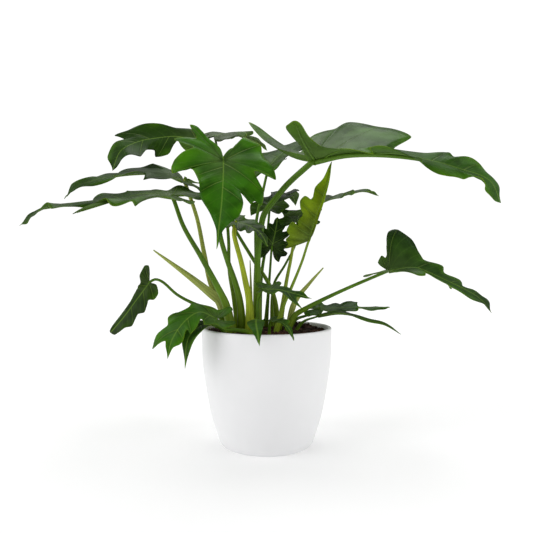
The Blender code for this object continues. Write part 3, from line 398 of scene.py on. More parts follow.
# How each leaf looks: the blade's colour from stalk to tip, and how far its margin ripples as a share of
# its length. Colours are linear here and below. The tones of left_top, back_dark, back_low and
# rim_left_dark are partly painted shade: darker than the leaves' own green, for faces that lie in shade.
BLADE_LOOKS = {
    "front": ((0.042, 0.180, 0.003), (0.050, 0.225, 0.004), 0.026),
    "left_long": ((0.022, 0.060, 0.005), (0.040, 0.105, 0.008), 0.024),
    "left_upper": ((0.024, 0.068, 0.005), (0.036, 0.100, 0.006), 0.026),
    # Painted shade: left_top's tones are darkened for a face in shade.
    "left_top": ((0.028, 0.082, 0.005), (0.034, 0.100, 0.005), 0.022),
    "back_top": ((0.044, 0.080, 0.016), (0.052, 0.092, 0.020), 0.022),
    "back_right_top": ((0.040, 0.125, 0.006), (0.030, 0.090, 0.006), 0.020),
    "right_large": ((0.052, 0.135, 0.010), (0.042, 0.150, 0.007), 0.022),
    "young": ((0.300, 0.440, 0.008), (0.220, 0.360, 0.006), 0.012),
    "right_back": ((0.046, 0.085, 0.018), (0.034, 0.075, 0.014), 0.026),
    "back_middle": ((0.022, 0.060, 0.010), (0.018, 0.055, 0.008), 0.022),
    # Painted shade: back_dark's tones are darkened for its place in shade behind the other leaves.
    "back_dark": ((0.016, 0.045, 0.006), (0.016, 0.045, 0.006), 0.022),
    "centre_pale": ((0.038, 0.078, 0.020), (0.033, 0.072, 0.016), 0.030),
    # Painted shade: back_low's tones are darkened for its place in shade behind the other leaves.
    "back_low": ((0.014, 0.040, 0.006), (0.014, 0.042, 0.006), 0.022),
    "centre_low": ((0.028, 0.075, 0.014), (0.026, 0.070, 0.012), 0.030),
    "right_low": ((0.034, 0.095, 0.012), (0.036, 0.092, 0.014), 0.020),
    "right_short": ((0.030, 0.105, 0.008), (0.036, 0.120, 0.008), 0.030),
    "right_narrow": ((0.046, 0.100, 0.014), (0.052, 0.110, 0.014), 0.020),
    "left_hanging": ((0.030, 0.066, 0.010), (0.032, 0.070, 0.012), 0.020),
    "rim_left": ((0.042, 0.130, 0.010), (0.050, 0.185, 0.006), 0.026),
    # Painted shade: rim_left_dark's tones are darkened for its place in shade under rim_left.
    "rim_left_dark": ((0.030, 0.090, 0.008), (0.034, 0.100, 0.008), 0.022),
    "rim_front": ((0.036, 0.135, 0.006), (0.050, 0.160, 0.006), 0.020),
    "rim_front_thin": ((0.036, 0.110, 0.008), (0.040, 0.120, 0.008), 0.020),
}

# The stalks that are paler than the others, and the others' green.
PALE_STALKS = {"left_upper": (0.350, 0.420, 0.070), "centre_pale": (0.400, 0.500, 0.022),
               "right_back": (0.300, 0.410, 0.030), "young": (0.220, 0.350, 0.020)}
STALK_GREEN = (0.100, 0.225, 0.008)

# The paler patch where a stalk joins its blade, and how far it reaches as a share of the blade's length.
JOINT_COLOUR = (0.140, 0.230, 0.060)
JOINT_PALENESS = 0.55
JOINT_REACH = 0.20

# The colours that a blade's face mixes into its own.
BLACK = (0.0, 0.0, 0.0)
FRESH_GREEN = (0.12, 0.32, 0.004)
# A painted highlight: the pale grey-green sheen mixed in along a blade's midrib.
SHEEN_GREEN = (0.10, 0.20, 0.05)
LOWER_GREEN = (0.15, 0.25, 0.05)
UPPER_VEIN = (0.20, 0.36, 0.04)
LOWER_VEIN = (0.20, 0.33, 0.05)
MARGIN_YELLOW = (0.26, 0.38, 0.02)
LIGHT_THROUGH = (0.16, 0.42, 0.01)
FINE_VEINS = 5.0                # fine veins from one side vein to the next


class Value:
    """A number that a shader works out: Python's operators on it add the Math nodes."""

    def __init__(self, finish, socket):
        self.finish = finish
        self.socket = socket

    def __add__(self, other):
        return self.finish.math("ADD", self, other)

    def __radd__(self, other):
        return self.finish.math("ADD", other, self)

    def __sub__(self, other):
        return self.finish.math("SUBTRACT", self, other)

    def __rsub__(self, other):
        return self.finish.math("SUBTRACT", other, self)

    def __mul__(self, other):
        return self.finish.math("MULTIPLY", self, other)

    def __rmul__(self, other):
        return self.finish.math("MULTIPLY", other, self)

    def __truediv__(self, other):
        return self.finish.math("DIVIDE", self, other)

    def __rtruediv__(self, other):
        return self.finish.math("DIVIDE", other, self)

    def __abs__(self):
        return self.finish.math("ABSOLUTE", self)


class Finish:
    """A material with its Principled shader, and the few calls that its nodes are made with."""

    def __init__(self, name):
        self.material = bpy.data.materials.new(name)
        self.material.use_nodes = True
        self.tree = self.material.node_tree
        self.shader = self.tree.nodes["Principled BSDF"]

    def node(self, kind, settings=None, sockets=None):
        made = self.tree.nodes.new(kind)
        for key, value in (settings or {}).items():
            setattr(made, key, value)
        for key, value in (sockets or {}).items():
            self.feed(made.inputs[key], value)
        return made

    def feed(self, socket, value):
        """Links a value or a socket, or sets a number or a colour."""
        if isinstance(value, Value):
            value = value.socket
        if isinstance(value, bpy.types.NodeSocket):
            self.tree.links.new(value, socket)
        elif isinstance(value, tuple) and len(value) == 3 and socket.type == "RGBA":
            socket.default_value = (*value, 1.0)
        else:
            socket.default_value = value

    def number(self, node, output=0):
        return Value(self, node.outputs[output])

    def math(self, operation, *values):
        return self.number(self.node("ShaderNodeMath", {"operation": operation}, dict(enumerate(values))))

    def surface(self, **sockets):
        """Sets the Principled shader's sockets, named with underscores for spaces."""
        for key, value in sockets.items():
            self.feed(self.shader.inputs[key.replace("_", " ")], value)

    def place(self):
        return self.node("ShaderNodeTexCoord").outputs["Object"]

    def tone(self):
        """The colour painted on the piece."""
        return self.node("ShaderNodeAttribute", {"attribute_name": "tone"}).outputs["Color"]

    def map(self, name):
        """The two numbers of a UV map."""
        uv = self.node("ShaderNodeUVMap", {"uv_map": name}).outputs[0]
        parts = self.node("ShaderNodeSeparateXYZ", None, {0: uv})
        return self.number(parts, 0), self.number(parts, 1)

    def skin(self, fineness, run):
        """The share of the way along a rod, and a place on it that draws a pattern out lengthwise."""
        along, around = self.map("skin")
        turn = around * math.tau
        place = self.node("ShaderNodeCombineXYZ", None, {
            0: self.math("COSINE", turn) * fineness,
            1: self.math("SINE", turn) * fineness,
            2: along * run})
        return along, place.outputs[0]

    def noise(self, scale, detail=4.0, roughness=0.55, vector=None):
        made = self.node("ShaderNodeTexNoise", None, {
            "Vector": vector or self.place(), "Scale": scale, "Detail": detail, "Roughness": roughness})
        return self.number(made, "Fac")

    def ramp(self, value, low, high):
        """0 at low, 1 at high, smooth between them."""
        made = self.node("ShaderNodeMapRange", {"interpolation_type": "SMOOTHSTEP"}, {
            "Value": value, "From Min": low, "From Max": high})
        return self.number(made)

    def mix(self, share, first, second):
        made = self.node("ShaderNodeMix", {"data_type": "RGBA"}, {0: share, 6: first, 7: second})
        return made.outputs[2]

    def relief(self, height, distance, strength):
        bump = self.node("ShaderNodeBump", None, {
            "Height": height, "Distance": distance, "Strength": strength})
        self.feed(self.shader.inputs["Normal"], bump.outputs[0])

    def let_through(self, colour, share):
        """Lets a share of the light through, as a thin leaf does."""
        glow = self.node("ShaderNodeBsdfTranslucent", None, {"Color": colour})
        both = self.node("ShaderNodeMixShader", None, {
            0: share, 1: self.shader.outputs[0], 2: glow.outputs[0]})
        self.feed(self.tree.nodes["Material Output"].inputs["Surface"], both.outputs[0])


def vein_distance(finish, number, span):
    """How far a point is from the nearest vein. Veins lie at whole numbers, a span apart in metres."""
    return abs(finish.math("FRACT", number + 0.5) - 0.5) * span


def leaf_green(finish, across, from_vein, patches, under):
    """The green between veins: clouded, with painted shade beside a vein, fresher near the margin, with a
    painted sheen along the midrib.
    """
    cloud, blotch, grain = patches
    tone = finish.tone()
    # Painted shade: darker beside each vein, where the quilted blade curves down to it.
    vein_shade = 1.0 - finish.ramp(from_vein, 0.0006, 0.0060)
    flush = finish.ramp(across, 0.45, 1.0) * cloud
    # Painted highlight: a pale sheen along the midrib, fading towards the margin.
    midrib_sheen = (1.0 - finish.ramp(across, 0.05, 0.60)) * (1.0 - blotch * 0.6)
    dark = finish.mix(0.50 if under else 0.66, tone, BLACK)
    green = finish.mix(cloud * 0.50 + blotch * 0.35 + grain * 0.15, dark, tone)
    green = finish.mix(vein_shade * 0.34, green, BLACK)
    green = finish.mix(flush * 0.30, green, FRESH_GREEN)
    green = finish.mix(midrib_sheen * 0.12, green, SHEEN_GREEN)
    return finish.mix(0.22, green, LOWER_GREEN) if under else green


def blade_finish(name, under):
    """A blade's face: green with a paler midrib, side veins, a fine net, and a yellow-green margin."""
    finish = Finish(name)
    number, across = finish.map("veins")
    span, from_midrib = finish.map("spans")
    from_vein = vein_distance(finish, number, span)
    from_fine_vein = vein_distance(finish, number * FINE_VEINS, span) / FINE_VEINS
    open_span = finish.ramp(span, 0.004, 0.012)
    main_vein = (1.0 - finish.ramp(from_vein, 0.0001, 0.0022 - across * 0.0017)) * open_span
    fine_vein = (1.0 - finish.ramp(from_fine_vein, 0.0001, 0.0006)) * open_span
    midrib = 1.0 - finish.ramp(from_midrib, 0.0004, 0.0015)
    cloud = finish.ramp(finish.noise(13.0, 3.0), 0.38, 0.64)
    blotch = finish.ramp(finish.noise(42.0, 3.0), 0.35, 0.68)
    grain = finish.noise(900.0, 2.0)
    edge = finish.ramp(across, 0.965, 0.995)
    pale = LOWER_VEIN if under else UPPER_VEIN
    colour = leaf_green(finish, across, from_vein, (cloud, blotch, grain), under)
    colour = finish.mix(fine_vein * 0.13, colour, pale)
    colour = finish.mix(main_vein * (0.36 if under else 0.30), colour, pale)
    colour = finish.mix(midrib * 0.50, colour, pale)
    colour = finish.mix(edge * cloud * 0.55, colour, MARGIN_YELLOW)
    finish.surface(Base_Color=colour, Roughness=(0.55 if under else 0.32) + grain * 0.10,
                   Specular_IOR_Level=0.07, Coat_Weight=0.0 if under else blotch * 0.10, Coat_Roughness=0.26)
    sink = main_vein * 0.7 + fine_vein * 0.22 + midrib * 0.8
    finish.relief((sink if under else 1.0 - sink) + grain * 0.12, 0.0005, 0.9)
    finish.let_through(LIGHT_THROUGH, 0.12)
    return finish.material


def rib_finish(name):
    """The ribs under a blade: pale, smooth and a little waxy."""
    finish = Finish(name)
    lines = finish.noise(260.0, 3.0)
    colour = finish.mix(0.30 + lines * 0.20, finish.tone(), (0.17, 0.27, 0.03))
    finish.surface(Base_Color=colour, Roughness=0.42 + lines * 0.12, Specular_IOR_Level=0.20)
    finish.relief(lines, 0.0002, 0.6)
    return finish.material


def stalk_finish(name):
    """A stalk: green, streaked along its length, paler and yellower towards the foot."""
    finish = Finish(name)
    tone = finish.tone()
    along, lengthwise = finish.skin(3.0, 5.0)
    streak = finish.noise(1.0, 4.0, 0.6, lengthwise)
    blotch = finish.noise(22.0, 3.0)
    foot = 1.0 - finish.ramp(along, 0.0, 0.45)
    dark = finish.mix(0.50, tone, BLACK)
    green = finish.mix(finish.ramp(streak * 0.6 + blotch * 0.4, 0.35, 0.65), dark, tone)
    colour = finish.mix(foot * 0.40, green, (0.31, 0.41, 0.02))
    finish.surface(Base_Color=colour, Roughness=0.36 + streak * 0.16, Specular_IOR_Level=0.16,
                   Coat_Weight=0.04, Coat_Roughness=0.25)
    finish.relief(streak, 0.0003, 0.7)
    return finish.material


def spear_finish(name):
    """A dry sheath: straw green with fine lengthwise lines and brown flecks."""
    finish = Finish(name)
    along, lengthwise = finish.skin(4.0, 2.5)
    lines = finish.noise(1.0, 3.0, 0.6, lengthwise)
    flecks = finish.ramp(finish.noise(140.0, 5.0, 0.7), 0.60, 0.72)
    tip = finish.ramp(along, 0.80, 1.0)
    body = finish.mix(finish.ramp(lines, 0.35, 0.65), (0.26, 0.32, 0.06), (0.46, 0.52, 0.14))
    browned = finish.mix(flecks * 0.20, body, (0.22, 0.15, 0.06))
    colour = finish.mix(tip * 0.35, browned, (0.30, 0.36, 0.07))
    finish.surface(Base_Color=colour, Roughness=0.55 + lines * 0.2, Specular_IOR_Level=0.15)
    finish.relief(lines, 0.0004, 0.8)
    return finish.material


def soil_finish(name):
    """Damp potting soil: dark brown, with redder bark and paler fibre in it."""
    finish = Finish(name)
    lump = finish.noise(160.0, 8.0, 0.7)
    patch = finish.ramp(finish.noise(60.0, 3.0), 0.40, 0.65)
    fibre = finish.ramp(finish.noise(420.0, 4.0, 0.7), 0.62, 0.72)
    brown = finish.mix(patch, (0.028, 0.013, 0.007), (0.085, 0.036, 0.019))
    colour = finish.mix(fibre * 0.5, brown, (0.20, 0.11, 0.06))
    finish.surface(Base_Color=colour, Roughness=0.82 + lump * 0.15, Specular_IOR_Level=0.3)
    finish.relief(lump, 0.0016, 1.0)
    return finish.material


def pot_finish(name, colour, roughness):
    """Satin white plastic with a very slight unevenness in its gloss."""
    finish = Finish(name)
    cloud = finish.noise(18.0, 3.0)
    orange_peel = finish.noise(520.0, 2.0)
    darker = tuple(0.97 * part for part in colour)
    shade = finish.mix(finish.ramp(cloud, 0.3, 0.7) * 0.5, tuple(colour), darker)
    finish.surface(Base_Color=shade, Roughness=roughness - 0.03 + cloud * 0.06, Specular_IOR_Level=0.5,
                   Coat_Weight=0.15, Coat_Roughness=0.22)
    finish.relief(orange_peel, 0.00006, 0.5)
    return finish.material


def backdrop_finish(name, colour, glow):
    """A plain matt studio sheet with a faint light of its own."""
    finish = Finish(name)
    finish.surface(Base_Color=tuple(colour), Roughness=0.9, Specular_IOR_Level=0.1,
                   Emission_Color=(1.0, 1.0, 1.0), Emission_Strength=glow)
    return finish.material


# Meshes

def start_piece(name):
    """Names the primitive that was just added and its mesh, and returns it."""
    made = bpy.context.active_object
    made.name = name
    made.data.name = name
    return made


def deselect():
    if bpy.context.mode != "OBJECT":
        bpy.ops.object.mode_set(mode="OBJECT")
    bpy.ops.object.select_all(action="DESELECT")


def only(thing):
    deselect()
    thing.select_set(True)
    bpy.context.view_layer.objects.active = thing


def join(thing, others):
    only(thing)
    for other in others:
        other.select_set(True)
    bpy.ops.object.join()


def add_sheet(name, rows, columns):
    """A flat sheet of rows by columns of faces, with each vertex's row and column."""
    deselect()
    bpy.ops.mesh.primitive_grid_add(x_subdivisions=rows, y_subdivisions=columns, size=2.0, location=(0, 0, 0))
    sheet = start_piece(name)
    flat = np.empty(len(sheet.data.vertices) * 3)
    sheet.data.vertices.foreach_get("co", flat)
    flat = flat.reshape(-1, 3)
    row = np.rint((flat[:, 0] + 1) / 2 * rows).astype(int)
    column = np.rint((flat[:, 1] + 1) / 2 * columns).astype(int)
    return sheet, row, column


def move_vertices(thing, places):
    thing.data.vertices.foreach_set("co", np.ascontiguousarray(places, float).ravel())
    thing.data.update()


def corner_vertices(thing):
    """The vertex at each face corner."""
    vertices = np.empty(len(thing.data.loops), int)
    thing.data.loops.foreach_get("vertex_index", vertices)
    return vertices


def write_map(thing, name, first, second):
    """Stores two numbers for each face corner as a UV map."""
    layer = thing.data.uv_layers.get(name) or thing.data.uv_layers.new(name=name)
    layer.data.foreach_set("uv", np.column_stack((first, second)).astype(float).ravel())


def paint(thing, colours):
    """Stores a colour for each vertex as the attribute that the finishes read as the tone."""
    layer = thing.data.color_attributes.new(name="tone", type="FLOAT_COLOR", domain="POINT")
    values = np.ones((len(thing.data.vertices), 4))
    values[:, :3] = colours
    layer.data.foreach_set("color", values.ravel())


def merge(thing):
    """Merges the vertices that meet at seams and poles, and leaves the piece in edit mode, all selected."""
    only(thing)
    bpy.ops.object.mode_set(mode="EDIT")
    bpy.ops.mesh.select_all(action="SELECT")
    bpy.ops.mesh.remove_doubles(threshold=MERGE_DISTANCE)
    bpy.ops.mesh.select_all(action="SELECT")


def close_up(thing):
    """Closes a piece's seams and poles, and turns every face outwards."""
    merge(thing)
    bpy.ops.mesh.normals_make_consistent(inside=False)
    bpy.ops.object.mode_set(mode="OBJECT")
    bpy.ops.object.shade_smooth()


def hand_over(piece, slot, *nodes):
    """Parents the finished piece to the body it rides on and hides the imported parts it stands for; slot is
    not used.
    """
    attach(piece, BODY)
    if nodes:
        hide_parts(*nodes)


def smooth_point(points, share):
    """A point on the smooth curve through the points, which goes on straight past either end."""
    lengths = [(Vector(b) - Vector(a)).length for a, b in zip(points, points[1:])]
    left = share * sum(lengths)
    last = len(lengths) - 1
    index = 0
    while index < last and left > lengths[index]:
        left -= lengths[index]
        index += 1
    part = left / lengths[index]
    p1, p2 = Vector(points[index]), Vector(points[index + 1])
    p0 = Vector(points[index - 1]) if index > 0 else 2 * p1 - p2
    p3 = Vector(points[index + 2]) if index < last else 2 * p2 - p1
    first = (p2 - p0) / 2 * lengths[index] * 2 / ((p1 - p0).length + lengths[index])
    second = (p3 - p1) / 2 * lengths[index] * 2 / ((p3 - p2).length + lengths[index])
    if part < 0 or part > 1:
        end, slope = (p1, first) if part < 0 else (p2, second)
        return end + slope * (part if part < 0 else part - 1)
    cube, square = part ** 3, part ** 2
    return (p1 * (2 * cube - 3 * square + 1) + first * (cube - 2 * square + part)
            + p2 * (3 * square - 2 * cube) + second * (cube - square))


def curve_length(points):
    return sum((Vector(b) - Vector(a)).length for a, b in zip(points, points[1:]))


def rod_frames(ahead):
    """Two directions across each point of a line, carried along it without a twist."""
    across = np.cross(ahead[0], (0.0, 1.0, 0.0) if abs(ahead[0][1]) < 0.8 else (1.0, 0.0, 0.0))
    frames = []
    for way in ahead:
        across = across - way * across.dot(way)
        across /= np.linalg.norm(across)
        frames.append((across, np.cross(way, across)))
    return np.array(frames)


def add_rod(name, points, radii, sides, flatness=1.0):
    """A closed round rod through the points, its skin mapped along and around it."""
    count = len(points)
    ahead = np.gradient(points, axis=0)
    ahead /= np.linalg.norm(ahead, axis=1)[:, None]
    frames = rod_frames(ahead)
    rod, row, column = add_sheet(name, count + 1, sides)
    ring = np.clip(row - 1, 0, count - 1)
    radius = np.where((row == 0) | (row == count + 1), 0.0, radii[ring])
    turn = column / sides * math.tau
    squeeze = np.broadcast_to(flatness, count)[ring]
    places = (points[ring] + frames[ring, 0] * (radius * np.cos(turn))[:, None]
              + frames[ring, 1] * (radius * squeeze * np.sin(turn))[:, None])
    move_vertices(rod, places)
    corners = corner_vertices(rod)
    write_map(rod, "skin", (row / (count + 1))[corners], (column / sides)[corners])
    return rod


def add_toned_rod(name, points, radii, sides, tone, finish):
    rod = add_rod(name, points, radii, sides)
    paint(rod, tone)
    close_up(rod)
    rod.data.materials.append(finish)
    return rod


# Blades

def between(first, second, low, high, here):
    """The point at here on the line that is at first when here is low and at second when it is high."""
    return (high - here) / (high - low) * first + (here - low) / (high - low) * second


def margin_of(half):
    """The margin of half a blade as close points, from the stalk to the tip.

    It is a smooth curve through the outline's points, drawn a little towards straight lines.
    """
    corners = np.array([(0.0, 0.0), *half, (1.0, 0.0)])
    steps = np.linalg.norm(np.diff(corners, axis=0), axis=1) ** 0.5
    knots = np.concatenate(([0.0], np.cumsum(steps)))
    padded = np.vstack((2 * corners[0] - corners[1], corners, 2 * corners[-1] - corners[-2]))
    times = np.concatenate(([knots[0] - steps[0]], knots, [knots[-1] + steps[-1]]))
    curve = []
    straight = []
    for index in range(1, len(corners)):
        p0, p1, p2, p3 = padded[index - 1:index + 3]
        t0, t1, t2, t3 = times[index - 1:index + 3]
        here = np.linspace(t1, t2, MARGIN_POINTS, endpoint=False)[:, None]
        early = between(between(p0, p1, t0, t1, here), between(p1, p2, t1, t2, here), t0, t2, here)
        late = between(between(p1, p2, t1, t2, here), between(p2, p3, t2, t3, here), t1, t3, here)
        curve.append(between(early, late, t1, t2, here))
        straight.append(np.linspace(p1, p2, MARGIN_POINTS, endpoint=False))
    curve = np.vstack((*curve, corners[-1:]))
    straight = np.vstack((*straight, corners[-1:]))
    margin = curve + CRISPNESS * (straight - curve)
    margin[:, 1] = np.maximum(margin[:, 1], 0.0)
    return margin


class Half:
    """Half a blade laid flat: its margin, where the vein to each of its points starts, and their numbers.

    Whole numbers are the lobes' tips, where side veins run. order puts the points in step with the
    other half's, by their distance along the margin and by where their veins start.
    """

    def __init__(self, outline):
        margin = margin_of(outline)
        length = np.concatenate(([0.0], np.cumsum(np.linalg.norm(np.diff(margin, axis=0), axis=1))))
        root = np.clip(margin[:, 0] - margin[:, 1] / math.tan(VEIN_ANGLE), 0.0, 1.0)
        root = np.maximum.accumulate(root)
        fan = 1.0 - np.arctan2(margin[:, 1], margin[:, 0] + 1e-6) / math.pi
        fan = np.maximum.accumulate(np.where(length < FAN_START, 0.0, fan))
        fan_end = 1.0 - VEIN_ANGLE / math.pi
        phase = FAN_SHARE * np.minimum(fan / fan_end, 1.0) + (1.0 - FAN_SHARE) * root
        order = 0.5 * length / length[-1] + 0.5 * phase / phase[-1]
        self.order = order + np.arange(len(order)) * 1e-9
        self.margin, self.root, self.length = margin, root, length[-1]
        self.peaks = self.find_peaks(np.hypot(margin[:, 0] - root, margin[:, 1]))
        self.vein = np.interp(np.arange(len(margin)), self.peaks, np.arange(len(self.peaks)))

    def find_peaks(self, radius):
        """The two ends of the margin and the lobes' tips between them, as indices of its points."""
        inner = radius[1:-1]
        tips = np.flatnonzero((inner >= radius[:-2]) & (inner > radius[2:]) & (inner > LEAST_LOBE)) + 1
        return [0, *tips.tolist(), len(radius) - 1]

    def at(self, values, share):
        """The margin's values at a share of its order."""
        values = np.asarray(values)
        if values.ndim == 1:
            return np.interp(share, self.order, values)
        return np.column_stack([np.interp(share, self.order, column) for column in values.T])


class Blade:
    """A blade bent into place: flat shares along and across the midrib become points in space."""

    def __init__(self, leaf, ripple, seed):
        self.leaf = leaf
        self.ripple = ripple
        self.seed = seed
        self.halves = [Half(half) for half in leaf["halves"]]
        midrib = leaf["midrib"]
        self.size = curve_length(midrib)
        self.middle = np.array([smooth_point(midrib, share) for share in STATIONS])
        starts = np.clip(STATIONS, 0.0, 1.0 - AIM_STEP)
        ahead = np.array([smooth_point(midrib, share + AIM_STEP) - smooth_point(midrib, share)
                          for share in starts])
        self.ahead = ahead / np.linalg.norm(ahead, axis=1)[:, None]
        base, tip = (np.array(Vector(face).normalized()) for face in leaf["faces"])
        facing = base + (tip - base) * np.clip(STATIONS, 0.0, 1.0)[:, None]
        facing -= self.ahead * (facing * self.ahead).sum(axis=1)[:, None]
        self.facing = facing / np.linalg.norm(facing, axis=1)[:, None]

    def read(self, rows, along):
        """The rows' values, known at the stations, at any shares along the midrib."""
        return np.column_stack([np.interp(along, STATIONS, column) for column in rows.T])

    def waves(self, side, vein, share):
        """The height of the ripples near the margin and of the quilting between the veins."""
        swing = np.sin(math.pi * vein + self.seed + side * 1.3)
        flutter = np.sin(math.tau * FLUTTER_PITCH * vein + 2.1 * self.seed + side)
        ripple = self.ripple * self.size * share ** 2 * (swing + FLUTTER * share ** 2 * flutter)
        hump = 0.5 - 0.5 * np.cos(math.tau * vein)
        return ripple + QUILT * self.size * hump * np.sin(math.pi * np.minimum(share, 1.0))

    def place(self, along, across, side, vein, share):
        """Points in space for flat points on one side, which lie at a share of the way to the margin."""
        leaf, size = self.leaf, self.size
        middle, ahead, facing = (self.read(rows, along) for rows in (self.middle, self.ahead, self.facing))
        sideways = np.cross(ahead, facing) * (1 if side == 0 else -1)
        start, end = (math.radians(stage[side]) for stage in leaf["folds"])
        fold = (start + (end - start) * np.clip(along, 0.0, 1.0))[:, None]
        out = across * size * leaf.get("width", 1.0)
        sink = leaf["droop"] * out * out / (0.5 * size)
        sink = sink - leaf.get("rear", 0.0) * np.minimum(along, 0.0) ** 2 * size
        calm = np.minimum(1.0, TIP_CALM * np.hypot(1.0 - along, across))
        lift = self.waves(side, vein, share) * calm - sink
        outward = sideways * np.cos(fold) + facing * np.sin(fold)
        return middle + outward * out[:, None] + facing * lift[:, None]

    def ray(self, side, order, shares):
        """Flat points on the ray of one side vein, from the midrib to the margin, bowed backwards."""
        half = self.halves[side]
        margin = half.at(half.margin, order)
        root = 0.5 * sum(each.at(each.root, order) for each in self.halves)
        along = root + (margin[:, 0] - root) * shares
        bow = VEIN_BOW * np.hypot(margin[:, 0] - root, margin[:, 1]) * shares * (1.0 - shares)
        along = along - bow * np.clip(4.0 * (1.0 - root), 0.0, 1.0)
        return along, margin[:, 1] * shares


def bend_sheet(sheet, blade, order, share, sides):
    """Bends a flat grid into the blade, and says where its vertices lie along and across the midrib."""
    places = np.zeros((len(order), 3))
    flat = np.zeros((2, len(order)))
    for side, half in enumerate(blade.halves):
        chosen = sides == side
        along, across = blade.ray(side, order[chosen], share[chosen])
        vein = half.at(half.vein, order[chosen])
        places[chosen] = blade.place(along, across, side, vein, share[chosen])
        flat[:, chosen] = along, across
    move_vertices(sheet, places)
    return flat


def map_sheet(sheet, blade, order, share, sides, nudge):
    """Maps each face corner to its vein's number and share of the way out, the span and the midrib."""
    veins, spans, from_midrib = np.zeros((3, len(order)))
    for side, half in enumerate(blade.halves):
        chosen = sides == side
        here, out = order[chosen], share[chosen]
        before, after = np.clip(here - nudge, 0, 1), np.clip(here + nudge, 0, 1)
        along0, across0 = blade.ray(side, before, out)
        along1, across1 = blade.ray(side, after, out)
        change = half.at(half.vein, after) - half.at(half.vein, before)
        veins[chosen] = half.at(half.vein, here)
        spans[chosen] = np.hypot(along1 - along0, across1 - across0) * blade.size / np.maximum(change, 1e-4)
        from_midrib[chosen] = blade.ray(side, here, out)[1] * blade.size
    write_map(sheet, "veins", veins, share)
    write_map(sheet, "spans", np.clip(spans, 0.0, WIDEST_SPAN), from_midrib)


def tone_sheet(sheet, along, across, first, last):
    """Colours a blade from its stalk to its tip, with the paler patch at the stalk."""
    blend = np.clip(along, 0.0, 1.0)[:, None]
    tones = np.array(first) * (1 - blend) + np.array(last) * blend
    joint = JOINT_PALENESS * np.exp(-((along ** 2 + across ** 2) / JOINT_REACH ** 2))[:, None]
    paint(sheet, tones * (1 - joint) + np.array(JOINT_COLOUR) * joint)


def face_upwards(sheet, blade):
    """Merges the vertices that meet at the stalk and at the tip, and turns the faces upwards."""
    merge(sheet)
    bpy.ops.object.mode_set(mode="OBJECT")
    up = blade.facing[np.searchsorted(STATIONS, 0.5)]
    if sum(face.normal.dot(up) * face.area for face in sheet.data.polygons) < 0:
        bpy.ops.object.mode_set(mode="EDIT")
        bpy.ops.mesh.select_all(action="SELECT")
        bpy.ops.mesh.flip_normals()
        bpy.ops.object.mode_set(mode="OBJECT")


def thicken(sheet, thickness):
    """Gives the sheet its thickness on the lower side, which takes the second finish."""
    wall = sheet.modifiers.new("thickness", "SOLIDIFY")
    wall.thickness = thickness
    wall.offset = -1.0
    wall.material_offset = 1
    wall.material_offset_rim = 0
    bpy.ops.object.modifier_apply(modifier=wall.name)
    bpy.ops.object.shade_smooth()


def make_blade(name, leaf, settings, finishes):
    """One leaf's blade, with its rows from the stalk to the tip and its columns across the midrib."""
    first, last, ripple = BLADE_LOOKS[name]
    blade = Blade(leaf, ripple, float(sum(map(ord, name)) % 7))
    longest = max(half.length for half in blade.halves) * blade.size
    rows = int(min(max(longest / settings.step, LEAST_ROWS), MOST_ROWS))
    sheet, row, column = add_sheet(f"leaf_{name}", rows, 2 * settings.columns)
    order = row / rows
    share = (np.abs(column - settings.columns) / settings.columns) ** COLUMN_CROWDING
    along, across = bend_sheet(sheet, blade, order, share, np.where(column >= settings.columns, 0, 1))
    corners = corner_vertices(sheet)
    outermost = column[corners].reshape(-1, 4).max(axis=1)
    face_sides = np.repeat(np.where(outermost > settings.columns, 0, 1), 4)
    map_sheet(sheet, blade, order[corners], share[corners], face_sides, 0.5 / rows)
    tone_sheet(sheet, along, across, first, last)
    upper, lower, rib = finishes
    sheet.data.materials.append(upper)
    sheet.data.materials.append(lower)
    face_upwards(sheet, blade)
    thicken(sheet, settings.thickness)
    join(sheet, make_ribs(f"rib_{name}", leaf["radii"][1], blade, settings.thickness, last, rib))
    hand_over(sheet, "leaf_young" if name == "young" else "leaf", f"blade_{name}")


def make_ribs(name, thin, blade, thickness, tone, finish):
    """The midrib and the side ribs that stand out under the blade."""
    shares = np.linspace(0.0, MIDRIB_REACH, MIDRIB_POINTS)
    zero = np.zeros(MIDRIB_POINTS)
    radii = thin * (MIDRIB_RADIUS * (1 - shares) ** MIDRIB_TAPER + MIDRIB_TIP)
    line = blade.place(shares, zero, 0, zero, zero)
    line = line - blade.read(blade.facing, shares) * (MIDRIB_SINK * radii + thickness)[:, None]
    ribs = [add_toned_rod(name, line, radii, MIDRIB_SIDES, tone, finish)]
    shares = np.linspace(0.0, RIB_REACH, RIB_POINTS)
    for side, half in enumerate(blade.halves):
        for peak in half.peaks[1:-1]:
            order = np.full(RIB_POINTS, half.order[peak])
            along, across = blade.ray(side, order, shares)
            near_stalk = 0.35 + 0.65 * (1 - order[0])
            radii = RIB_RADIUS * thin * (1 - shares) ** RIB_TAPER * near_stalk + RIB_LEAST
            line = blade.place(along, across, side, half.at(half.vein, order), shares)
            line = line - blade.read(blade.facing, along) * (RIB_SINK * radii + thickness)[:, None]
            ribs.append(add_toned_rod(name, line, radii, RIB_SIDES, tone, finish))
    return ribs


# Stalks and spears

def rooted_route(route, depth):
    """The route, with its first point moved to a depth below the soil's level."""
    x, y, _ = route[0]
    return ((x, y, SOIL_TOP - depth), *route[1:])


def make_stalk(name, leaf, settings, finish):
    """A stalk from below the soil's surface to its blade, sheathed at its foot."""
    thick, thin = leaf["radii"]
    route = (*rooted_route(leaf["stalk"], settings.depth), leaf["midrib"][0])
    shares = np.linspace(0.0, 1.0, settings.rings)
    points = np.array([smooth_point(route, share) for share in shares])
    height = shares * curve_length(route)
    radii = thin + (thick - thin) * (1 - shares) ** STALK_TAPER
    radii = radii * (1.0 + settings.sheath * np.exp(-(height / SHEATH_HEIGHT) ** 2))
    tone = PALE_STALKS.get(name, STALK_GREEN)
    stalk = add_toned_rod(f"petiole_{name}", points, radii, settings.sides, tone, finish)
    hand_over(stalk, "stalk", f"stalk_{name}")


